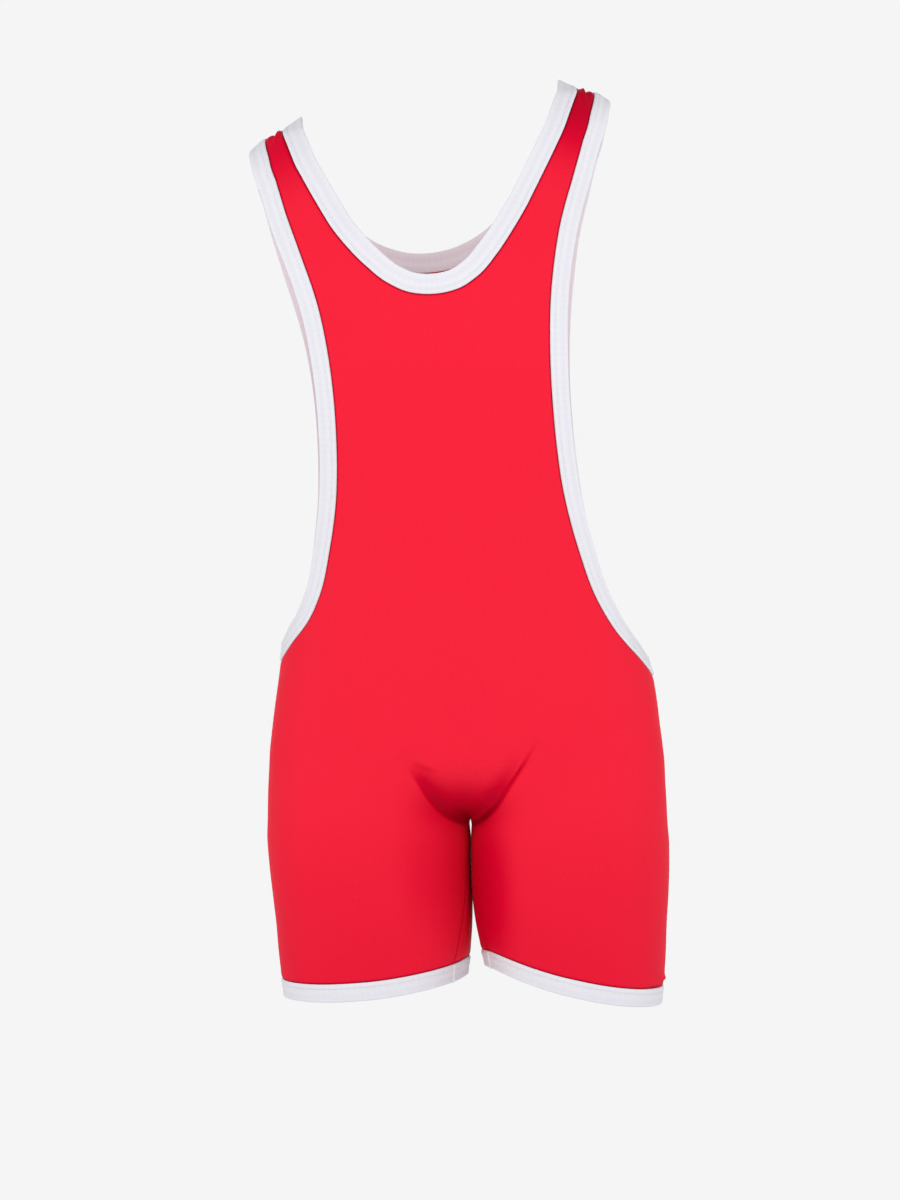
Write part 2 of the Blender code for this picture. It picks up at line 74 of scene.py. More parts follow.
BODY = "root"
UV_NAME = "cloth"
# The panels' point attribute of painted shade: how far their red is darkened where shade falls.
PAINTED_SHADE = "painted_shade"
MIRROR = np.array([-1.0, 1.0, 1.0])
TINY = 1e-9
SHARP_ANGLE = math.radians(50)

log = logging.getLogger("singlet")


class Face(Enum):
    """The front or the back of the garment, by its side of the Y axis."""

    FRONT = -1
    BACK = 1


class Side(Enum):
    """The wearer's left or right, by its side of the X axis."""

    LEFT = 1
    RIGHT = -1


class Seam(Enum):
    """The seams and edges of a half panel, in order round it."""

    NECK = "neck"
    SHOULDER = "shoulder"
    ARMHOLE = "armhole"
    SIDE = "side"
    HEM = "hem"
    INSEAM = "inseam"
    CENTRE = "centre"


class Slot(Enum):
    """The material slots of the record."""

    RED = "red_knit"
    WHITE = "white_binding"


BOUND_SEAMS = (Seam.NECK, Seam.ARMHOLE, Seam.HEM)


class Section(NamedTuple):
    """An oval section of the trunk."""

    z: float
    half_width: float
    front: float
    back: float


class Thigh(NamedTuple):
    """An oval section of the thigh on +X."""

    z: float
    centre: float
    half_width: float
    front: float
    back: float


class Row(NamedTuple):
    """A row of the chart: its height at the side line and at its inner end."""

    outer: float
    inner: float


class Rise(NamedTuple):
    """How a hem rises to the inseam: its bend, and a crest that lets it pass the inseam smoothly."""

    bend: float
    crest: float


class Cut(NamedTuple):
    """Half-widths of an armhole's cut at a height."""

    z: float
    front: float
    back: float


class Hollow(NamedTuple):
    """The half-width of a neck's cut at a height."""

    z: float
    half_width: float


class Fold(NamedTuple):
    """A soft trough of the solids, by its ends in front or back view."""

    face: Face
    near_x: float
    near_z: float
    far_x: float
    far_z: float
    half_width: float
    depth: float


class Stance(NamedTuple):
    """How the garment is worn at a height: a lean, a slope across, a turn and a lift of one leg.

    narrowing is how much narrower the side of +X looks than the figure, and the other side wider.
    """

    z: float
    lean: float
    slope: float
    turn: float = 0.0
    lift: float = 0.0
    narrowing: float = 0.0


class Contour(NamedTuple):
    """A point of a binding's cross-section: its distance from the seam and its height."""

    across: float
    height: float


class Crease(NamedTuple):
    """A crease: the points that it runs through, its depth and width, and the ridge beside it.

    A crease without a face runs over a seam, from one panel to the other.
    ridge_side is 1 where the ridge lies to the left of the course, seen from outside, and -1 to the right.
    fade_in and fade_out are the shares of its length over which it sets in and fades out.
    slope is the width on the side away from the ridge, where that isn't the same.
    """

    face: Face | None
    course: tuple[tuple[float, float, float], ...]
    depth: float
    width: float
    ridge: float = 0.0
    ridge_side: int = 1
    fade_in: float = 0.35
    fade_out: float = 0.35
    slope: float | None = None


class ShadeSpot(NamedTuple):
    """A soft spot, seen from the front, where shade is painted into the knit as a deeper red."""

    x: float
    z: float
    half_width: float
    half_height: float
    share: float


TRUNK = (
    Section(0.026, 0.092, 0.040, 0.042),
    Section(0.012, 0.1175, 0.048, 0.052),
    Section(0.003, 0.134, 0.053, 0.058),
    Section(-0.0025, 0.148, 0.057, 0.062),
    Section(-0.0128, 0.1625, 0.063, 0.069),
    Section(-0.030, 0.179, 0.072, 0.080),
    Section(-0.050, 0.184, 0.081, 0.091),
    Section(-0.080, 0.183, 0.092, 0.103),
    Section(-0.120, 0.178, 0.106, 0.113),
    Section(-0.170, 0.172, 0.116, 0.119),
    Section(-0.220, 0.167, 0.119, 0.118),
    Section(-0.280, 0.161, 0.115, 0.110),
    Section(-0.340, 0.155, 0.108, 0.098),
    Section(-0.400, 0.152, 0.102, 0.089),
    Section(-0.450, 0.156, 0.100, 0.085),
    Section(-0.493, 0.166, 0.0995, 0.090),
    Section(-0.540, 0.1728, 0.0982, 0.0995),
    Section(-0.585, 0.1778, 0.0955, 0.1050),
    Section(-0.625, 0.1796, 0.0930, 0.1060),
    Section(-0.662, 0.1790, 0.0915, 0.1045),
)
THIGHS = (
    Thigh(-0.560, 0.0880, 0.0870, 0.0895, 0.0990),
    Thigh(-0.600, 0.0898, 0.0885, 0.0902, 0.1010),
    Thigh(-0.640, 0.0904, 0.0892, 0.0903, 0.1018),
    Thigh(-0.650, 0.0903, 0.0899, 0.0903, 0.1016),
    Thigh(-0.660, 0.0902, 0.0898, 0.0902, 0.1012),
    Thigh(-0.680, 0.0897, 0.0893, 0.0899, 0.1000),
    Thigh(-0.703, 0.0888, 0.0884, 0.0892, 0.0976),
    Thigh(-0.728, 0.0886, 0.0864, 0.0880, 0.0942),
    Thigh(-0.758, 0.0899, 0.0833, 0.0857, 0.0900),
    Thigh(-0.788, 0.0908, 0.0791, 0.0830, 0.0858),
    Thigh(-0.805, 0.0910, 0.0766, 0.0815, 0.0835),
)
ROWS = (
    Row(0.026, 0.026),
    Row(-0.500, -0.500),
    Row(-0.545, -0.545),
    Row(-0.590, -0.585),
    Row(-0.635, -0.616),
    Row(-0.680, -0.6305),
    Row(-0.730, -0.693),
    Row(-0.7797, -0.755),
)
HEM_RISES = {Face.FRONT: Rise(3.5, 2.75), Face.BACK: Rise(2.0, 3.0)}
ARMHOLE = (
    Cut(-0.012, 0.1465, 0.1475),
    Cut(-0.028, 0.1424, 0.1440),
    Cut(-0.045, 0.1373, 0.1395),
    Cut(-0.083, 0.1260, 0.1303),
    Cut(-0.129, 0.1121, 0.1193),
    Cut(-0.174, 0.1021, 0.1104),
    Cut(-0.218, 0.0972, 0.1050),
    Cut(-0.262, 0.0956, 0.1030),
    Cut(-0.306, 0.0967, 0.1035),
    Cut(-0.349, 0.1008, 0.1070),
    Cut(-0.393, 0.1100, 0.1147),
    Cut(-0.437, 0.1238, 0.1264),
    Cut(-0.466, 0.1410, 0.1412),
    Cut(-0.482, 0.1550, 0.1550),
    Cut(-0.493, 0.1635, 0.1635),
)
NECK_FRONT = (
    Hollow(-0.010, 0.1285),
    Hollow(-0.028, 0.1219),
    Hollow(-0.047, 0.1136),
    Hollow(-0.085, 0.0942),
    Hollow(-0.103, 0.0843),
    Hollow(-0.121, 0.0722),
    Hollow(-0.140, 0.0572),
    Hollow(-0.158, 0.0385),
    Hollow(-0.168, 0.0190),
    Hollow(-0.1705, 0.0),
)
NECK_BACK = (
    Hollow(-0.010, 0.1286),
    Hollow(-0.025, 0.1228),
    Hollow(-0.040, 0.1160),
    Hollow(-0.070, 0.1010),
    Hollow(-0.094, 0.0840),
    Hollow(-0.113, 0.0630),
    Hollow(-0.125, 0.0400),
    Hollow(-0.131, 0.0190),
    Hollow(-0.1325, 0.0),
)
FOLDS = (
    Fold(Face.FRONT, -0.015, -0.622, -0.058, -0.574, 0.010, 0.0030),
    Fold(Face.FRONT, 0.017, -0.618, 0.066, -0.560, 0.009, 0.0026),
    Fold(Face.BACK, -0.017, -0.622, -0.078, -0.602, 0.011, 0.0024),
    Fold(Face.BACK, 0.016, -0.622, 0.070, -0.596, 0.010, 0.0022),
)
STANCES = (
    Stance(0.030, 0.0010, 0.143),
    Stance(-0.040, 0.0008, 0.135),
    Stance(-0.120, 0.0010, 0.100),
    Stance(-0.167, 0.0050, 0.080),
    Stance(-0.257, 0.0125, 0.036),
    Stance(-0.350, 0.0195, 0.000),
    Stance(-0.437, 0.0272, -0.028),
    Stance(-0.473, 0.0315, -0.040),
    Stance(-0.493, 0.0337, -0.040),
    Stance(-0.550, 0.0350, -0.030, 0.01, 0.0000, 0.004),
    Stance(-0.640, 0.0375, -0.015, 0.08, 0.0000, 0.012),
    Stance(-0.703, 0.0392, -0.012, 0.10, 0.0030, 0.008),
    Stance(-0.758, 0.0424, -0.028, 0.10, 0.0080, 0.018),
    Stance(-0.805, 0.0440, -0.030, 0.10, 0.0083, 0.022),
)
CREASES = (
    # The two arms of the crease that rises from the crotch over the tops of the thighs
    Crease(
        Face.FRONT,
        ((-0.0530, -0.0927, -0.5821), (-0.0464, -0.0914, -0.5916), (-0.0390, -0.0876, -0.6021),
         (-0.0303, -0.0785, -0.6147), (-0.0221, -0.0665, -0.6239), (-0.0143, -0.0523, -0.6306),
         (-0.0068, -0.0345, -0.6349), (-0.0005, -0.0046, -0.6377)),
        depth=0.0036, width=0.0016, ridge=0.0011, ridge_side=-1, fade_in=0.22, fade_out=0.26, slope=0.0110,
    ),
    Crease(
        Face.FRONT,
        ((0.0632, -0.0932, -0.5560), (0.0575, -0.0933, -0.5676), (0.0511, -0.0931, -0.5801),
         (0.0439, -0.0911, -0.5927), (0.0356, -0.0851, -0.6063), (0.0268, -0.0733, -0.6195),
         (0.0171, -0.0576, -0.6286), (0.0085, -0.0380, -0.6342), (0.0012, -0.0100, -0.6374)),
        depth=0.0030, width=0.0017, ridge=0.0004, ridge_side=-1, fade_in=0.25, fade_out=0.12,
    ),
    # The broader trough inside the second arm
    Crease(
        Face.FRONT,
        ((0.0525, -0.0930, -0.5700), (0.0430, -0.0915, -0.5860), (0.0330, -0.0850, -0.6045),
         (0.0230, -0.0700, -0.6198), (0.0130, -0.0500, -0.6308), (0.0040, -0.0280, -0.6355)),
        depth=0.0032, width=0.0032, ridge_side=1, fade_in=0.40, fade_out=0.20, slope=0.0105,
    ),
    # A fainter branch of the first arm
    Crease(
        Face.FRONT,
        ((-0.0496, -0.0930, -0.5819), (-0.0363, -0.0929, -0.5869), (-0.0231, -0.0912, -0.5919)),
        depth=0.0008, width=0.0026, ridge=0.0004, ridge_side=1,
    ),
    # Puckers in the knit that run over the shoulder seams
    Crease(
        None,
        ((-0.1385, 0.0140, 0.0005), (-0.1390, -0.0060, 0.0015), (-0.1401, -0.0250, -0.0035),
         (-0.1418, -0.0325, -0.0100), (-0.1438, -0.0370, -0.0158)),
        depth=0.0017, width=0.0018, ridge=0.0013, ridge_side=1, fade_in=0.25, fade_out=0.40,
    ),
    Crease(
        None,
        ((-0.1320, 0.0120, 0.0015), (-0.1322, -0.0060, 0.0025), (-0.1332, -0.0300, -0.0040),
         (-0.1358, -0.0405, -0.0141)),
        depth=0.0007, width=0.0018, ridge=0.0005, ridge_side=1,
    ),
    Crease(
        None,
        ((0.1400, 0.0150, 0.0005), (0.1402, -0.0060, 0.0015), (0.1407, -0.0250, -0.0036),
         (0.1417, -0.0330, -0.0100), (0.1436, -0.0395, -0.0185)),
        depth=0.0018, width=0.0017, ridge=0.0015, ridge_side=-1, fade_in=0.25, fade_out=0.40,
    ),
    Crease(
        None,
        ((0.1335, 0.0120, 0.0010), (0.1338, -0.0060, 0.0020), (0.1344, -0.0320, -0.0050),
         (0.1380, -0.0448, -0.0207)),
        depth=0.0008, width=0.0018, ridge=0.0005, ridge_side=-1,
    ),
    # A small pinch in the knit over the hem, out on the thigh
    Crease(
        None,
        ((0.1520, -0.0540, -0.7785), (0.1640, -0.0330, -0.7775), (0.1705, -0.0060, -0.7760),
         (0.1700, 0.0150, -0.7755)),
        depth=0.0018, width=0.0021, ridge=0.0024, ridge_side=1,
    ),
    # Soft drags across the back of the waist and under the seat
    Crease(
        Face.BACK,
        ((-0.1150, 0.0650, -0.4300), (-0.0600, 0.0850, -0.4420), (-0.0050, 0.0880, -0.4390)),
        depth=0.0009, width=0.0080, ridge=0.0005, ridge_side=1,
    ),
    Crease(
        Face.BACK,
        ((0.1180, 0.0600, -0.4180), (0.0700, 0.0820, -0.4270), (0.0250, 0.0880, -0.4300)),
        depth=0.0008, width=0.0075, ridge=0.0004, ridge_side=-1,
    ),
    Crease(
        Face.BACK,
        ((0.0950, 0.0750, -0.4560), (0.0450, 0.0870, -0.4600), (-0.0150, 0.0890, -0.4570)),
        depth=0.0007, width=0.0085, ridge=0.0004, ridge_side=-1,
    ),
    Crease(
        Face.BACK,
        ((-0.0740, 0.1000, -0.6080), (-0.0420, 0.0960, -0.6190), (-0.0120, 0.0600, -0.6330)),
        depth=0.0016, width=0.0040, ridge=0.0009, ridge_side=1, fade_in=0.6, fade_out=0.15,
    ),
    Crease(
        Face.BACK,
        ((0.0660, 0.1000, -0.6020), (0.0400, 0.0960, -0.6150), (0.0130, 0.0620, -0.6320)),
        depth=0.0015, width=0.0038, ridge=0.0008, ridge_side=-1, fade_in=0.6, fade_out=0.15,
    ),
    # Short drags that run in from the bottoms of the armholes
    Crease(
        Face.BACK,
        ((-0.1480, 0.0400, -0.5030), (-0.1250, 0.0700, -0.5120), (-0.0950, 0.0860, -0.5160)),
        depth=0.0007, width=0.0060, ridge=0.0004, ridge_side=1,
    ),
    Crease(
        Face.BACK,
        ((0.1490, 0.0380, -0.5060), (0.1300, 0.0650, -0.5160), (0.1040, 0.0820, -0.5210)),
        depth=0.0006, width=0.0060, ridge=0.0003, ridge_side=-1,
    ),
)
# Painted shade: the red is darkened where shade falls on the strap tops, at the crotch, on the inner thighs
# and over the lower thighs.
SHADE_SPOTS = (
    ShadeSpot(0.140, 0.000, 0.050, 0.064, 0.57),
    ShadeSpot(-0.140, 0.000, 0.050, 0.058, 0.34),
    ShadeSpot(-0.002, -0.618, 0.036, 0.020, 0.32),
    ShadeSpot(0.020, -0.692, 0.022, 0.068, 0.36),
    ShadeSpot(-0.026, -0.668, 0.028, 0.055, 0.18),
    ShadeSpot(0.000, -0.800, 0.300, 0.140, 0.13),
)
BINDING_OUTSIDE = (
    Contour(0.0000, -0.00035),
    Contour(0.0001, 0.00010),
    Contour(0.0004, 0.00042),
    Contour(0.0010, 0.00070),
    Contour(0.0018, 0.00090),
    Contour(0.0029, 0.00102),
    Contour(0.0038, 0.00096),
    Contour(0.0043, 0.00074),
    Contour(0.0047, 0.00063),
    Contour(0.0051, 0.00072),
    Contour(0.0058, 0.00086),
    Contour(0.0075, 0.00072),
    Contour(0.0095, 0.00062),
    Contour(0.0115, 0.00062),
    Contour(0.0135, 0.00070),
    Contour(0.0155, 0.00082),
    Contour(0.0167, 0.00080),
    Contour(0.0174, 0.00060),
    Contour(0.0178, 0.00025),
    Contour(0.0180, -0.00010),
)
BINDING_INSIDE = (
    Contour(0.0178, -0.00055),
    Contour(0.0172, -0.00085),
    Contour(0.0150, -0.00090),
    Contour(0.0110, -0.00090),
    Contour(0.0075, -0.00090),
    Contour(0.0054, -0.00100),
    Contour(0.0050, -0.00165),
    Contour(0.0041, -0.00200),
    Contour(0.0022, -0.00200),
    Contour(0.0006, -0.00190),
    Contour(0.0000, -0.00140),
)


def cubic(knots: Array, values: Array, slopes: Array, at: Array) -> Array:
    """A smooth curve through rows of values, cubic between knots.

    Args:
        knots: Rising places of the values.
        values: One row of values for each knot.
        slopes: Their slopes at the knots.
        at: Places to read the curve at.

    Returns:
        One row of values for each place.
    """
    at = np.clip(at, knots[0], knots[-1])
    i = np.clip(np.searchsorted(knots, at) - 1, 0, len(knots) - 2)
    span = (knots[i + 1] - knots[i])[..., None]
    t = (at - knots[i])[..., None] / span
    start = (1 + 2 * t) * (1 - t) ** 2 * values[i] + t * (1 - t) ** 2 * span * slopes[i]
    end = t**2 * (3 - 2 * t) * values[i + 1] + t**2 * (t - 1) * span * slopes[i + 1]
    return start + end


def spline(knots: Array, values: Array, at: Array) -> Array:
    """A smooth curve through rows of values, with slopes taken from the neighbours."""
    return cubic(knots, values, np.gradient(values, knots, axis=0), at)


@cache
def knots_of(rows: tuple[NamedTuple, ...]) -> tuple[Array, Array, Array]:
    """A table's heights, turned to rise, with its other columns and their slopes."""
    knots = -np.array([row[0] for row in rows])
    values = np.array([row[1:] for row in rows])
    return knots, values, np.gradient(values, knots, axis=0)


def read(rows: tuple[NamedTuple, ...], z: Array) -> list[Array]:
    """The columns of a table at the heights z, apart from the heights themselves."""
    found = cubic(*knots_of(rows), -np.asarray(z, float))
    return [found[..., i] for i in range(found.shape[-1])]


def ramp(value: Array, start: float, end: float) -> Array:
    """0 before start and 1 past end, with a smooth passage."""
    t = np.clip((value - start) / (end - start), 0, 1)
    return t * t * (3 - 2 * t)


def signed_power(value: Array, power: float) -> Array:
    """The power of a number's size, with its sign kept."""
    return np.sign(value) * np.abs(value) ** power


def unit(vectors: Array) -> Array:
    """The vectors, each made one metre long."""
    return vectors / np.maximum(np.linalg.norm(vectors, axis=-1, keepdims=True), TINY)


def bump(distance: Array, width: float) -> Array:
    """1 at no distance and nearly 0 past twice the width, with a smooth fall."""
    return np.exp(-((distance / width) ** 2))


def rolled(points: Array, scale: float, seed: float) -> Array:
    """Smooth noise between about -1 and 1 at each point.

    Args:
        points: Places in metres.
        scale: About how many waves there are in a metre.
        seed: Picks the pattern.

    Returns:
        One number for each point.
    """
    return np.array([noise.noise(Vector(point * scale) + Vector((seed, seed, seed))) for point in points])


def lengths_along(points: Array) -> Array:
    """The length of the way through points up to each of them."""
    return np.concatenate([[0], np.cumsum(np.linalg.norm(np.diff(points, axis=0), axis=1))])


def distance_to(points: Array, starts: Array, ends: Array, chunk: int = 800) -> Array:
    """The distance from each point to the nearest of some line segments, a few points at a time.

    Args:
        points: The points.
        starts: Where the segments start.
        ends: Where they end.
        chunk: How many points are taken at a time.

    Returns:
        One distance for each point.
    """
    edge = ends - starts
    size = np.maximum((edge**2).sum(1), TINY**2)
    found = []
    for first in range(0, len(points), chunk):
        away = points[first : first + chunk, None] - starts
        along = np.clip((away * edge).sum(2) / size, 0, 1)
        found.append(np.linalg.norm(away - along[..., None] * edge, axis=2).min(1))
    return np.concatenate(found) if found else np.zeros(0)


def within(points: Array, outline: Array, chunk: int = 2000) -> Array:
    """Which flat points lie inside a closed outline.

    Args:
        points: The points.
        outline: The corners of the outline.
        chunk: How many points are taken at a time.

    Returns:
        True for each point that lies inside.
    """
    starts, ends = outline, np.roll(outline, -1, 0)
    rise = np.where(ends[:, 1] == starts[:, 1], 1, ends[:, 1] - starts[:, 1])
    found = []
    for first in range(0, len(points), chunk):
        x, y = points[first : first + chunk, :1], points[first : first + chunk, 1:]
        spans = (starts[:, 1] > y) != (ends[:, 1] > y)
        crossing = starts[:, 0] + (y - starts[:, 1]) / rise * (ends[:, 0] - starts[:, 0])
        found.append((spans & (x < crossing)).sum(1) % 2 == 1)
    return np.concatenate(found)


def lattice(low: Array, high: Array, step: float) -> Array:
    """Points at even steps over a flat box, in staggered rows."""
    rise = step * math.sqrt(3) / 2
    j, i = np.mgrid[0 : int((high[1] - low[1]) / rise) + 1, 0 : int((high[0] - low[0]) / step) + 1]
    return np.stack([low[0] + (i + 0.5 * (j % 2)) * step, low[1] + j * rise], -1).reshape(-1, 2)


@dataclass(frozen=True)
class Figure:
    """The smooth form that the garment is worn on, as a measure that is 0 on the knit's outer face."""

    trunk_power: float = 2.3
    thigh_power: float = 2.1
    trunk_reach: float = 0.120
    thigh_reach: float = 0.088
    fork_top: float = -0.572
    fork_bottom: float = -0.6385
    saddle: float = 0.028
    probe: float = 2e-5
    rounds: int = 12
    most_move: float = 0.008

    @staticmethod
    def oval(
        x: Array, y: Array, half_width: Array, front: Array, back: Array, power: float, reach: float
    ) -> Array:
        """About the distance to an oval: below 0 inside, 0 on it and above 0 outside."""
        depth = np.where(y < 0, front, back)
        across = (np.abs(x / half_width) ** power + np.abs(y / depth) ** power) ** (2 / power)
        return (across - 1) * reach / 2

    def measure(self, points: Array) -> Array:
        """0 on the figure, below 0 inside it and above 0 outside.

        Args:
            points: Any points.

        Returns:
            One measure for each.
        """
        x, y, z = np.asarray(points).T
        fork = ramp(z, self.fork_top, self.fork_bottom)
        centre, *thigh = read(THIGHS, z)
        away = np.sqrt(x**2 + (self.saddle * (1 - fork)) ** 2) - centre
        upper = self.oval(x, y, *read(TRUNK, z), self.trunk_power, self.trunk_reach)
        lower = self.oval(away, y, *thigh, self.thigh_power, self.thigh_reach)
        return (1 - fork) * upper + fork * lower

    def slopes(self, points: Array) -> Array:
        """How the measure changes along X, Y and Z."""
        sides = np.eye(3) * self.probe
        return np.stack(
            [self.measure(points + side) - self.measure(points - side) for side in sides], 1
        ) / (2 * self.probe)

    def normals(self, points: Array) -> Array:
        """The unit directions straight out of the figure."""
        return unit(self.slopes(points))

    def settle(self, points: Array) -> Array:
        """The points moved straight onto the figure. One on the centre plane stays on it.

        Args:
            points: Points near the figure.

        Returns:
            The points on it.
        """
        points = np.array(points, float)
        centred = points[:, 0] == 0
        for _ in range(self.rounds):
            slope = self.slopes(points)
            move = -self.measure(points)[:, None] * slope / (slope**2).sum(1)[:, None]
            length = np.linalg.norm(move, axis=1)[:, None]
            points += move * np.minimum(1, self.most_move / np.maximum(length, TINY))
            points[centred, 0] = 0
        return points


@dataclass(frozen=True)
class Wearing:
    """The stance in which the garment is worn, which moves points of the upright figure."""

    lift_start: float = 0.012
    lift_reach: float = 0.190
    reach: float = 1e-4

    def worn(self, points: Array) -> Array:
        """The points as the garment is worn.

        Args:
            points: Points of the upright garment.

        Returns:
            Where they lie when it is worn.
        """
        x, y, z = points.T
        lean, slope, turn, lift, narrowing = read(STANCES, z)
        drawn_up = np.tanh(x / self.lift_start) * (1 - np.abs(x) / self.lift_reach)
        aside = x - narrowing * np.abs(x) + lean + turn * y
        return np.stack([aside, y, z + slope * x + lift * drawn_up], 1)

    def turned(self, points: Array, directions: Array) -> Array:
        """Directions at points of the upright figure, as the garment is worn."""
        return unit(self.worn(points + directions * self.reach) - self.worn(points))


@dataclass(frozen=True)
class FlatLay:
    """A flat lay of one half panel: length of cloth from the side line, at rows down it."""

    downs: Array
    lengths: Array

    def rings_at(self, down: Array) -> Array:
        """The row of lengths at each place down the side line."""
        row = np.clip(np.searchsorted(self.downs, down) - 1, 0, len(self.downs) - 2)
        share = ((down - self.downs[row]) / (self.downs[row + 1] - self.downs[row]))[:, None]
        return (1 - share) * self.lengths[row] + share * self.lengths[row + 1]

    def lay(self, places: Array) -> Array:
        """Places of the chart, (across, down), as spots of the flat lay.

        Args:
            places: Places of the chart.

        Returns:
            One spot for each.
        """
        rings = self.rings_at(places[:, 1])
        steps = places[:, 0] * (rings.shape[1] - 1)
        left = np.clip(steps.astype(int), 0, rings.shape[1] - 2)
        row = np.arange(len(places))
        start, end = rings[row, left], rings[row, left + 1]
        return np.stack([start + (steps - left) * (end - start), places[:, 1]], 1)

    def lift(self, spots: Array) -> Array:
        """Spots of the flat lay as places of the chart.

        Args:
            spots: Spots of the flat lay.

        Returns:
            One place for each.
        """
        rings = self.rings_at(spots[:, 1])
        left = np.clip((rings < spots[:, :1]).sum(1) - 1, 0, rings.shape[1] - 2)
        row = np.arange(len(spots))
        start, end = rings[row, left], rings[row, left + 1]
        share = np.clip((spots[:, 0] - start) / (end - start), 0, 1)
        return np.stack([(left + share) / (rings.shape[1] - 1), spots[:, 1]], 1)

    def from_centre(self, spots: Array) -> Array:
        """The spots measured from the centre line, or the inseam, instead of the side line."""
        return np.stack([self.rings_at(spots[:, 1])[:, -1] - spots[:, 0], spots[:, 1]], 1)


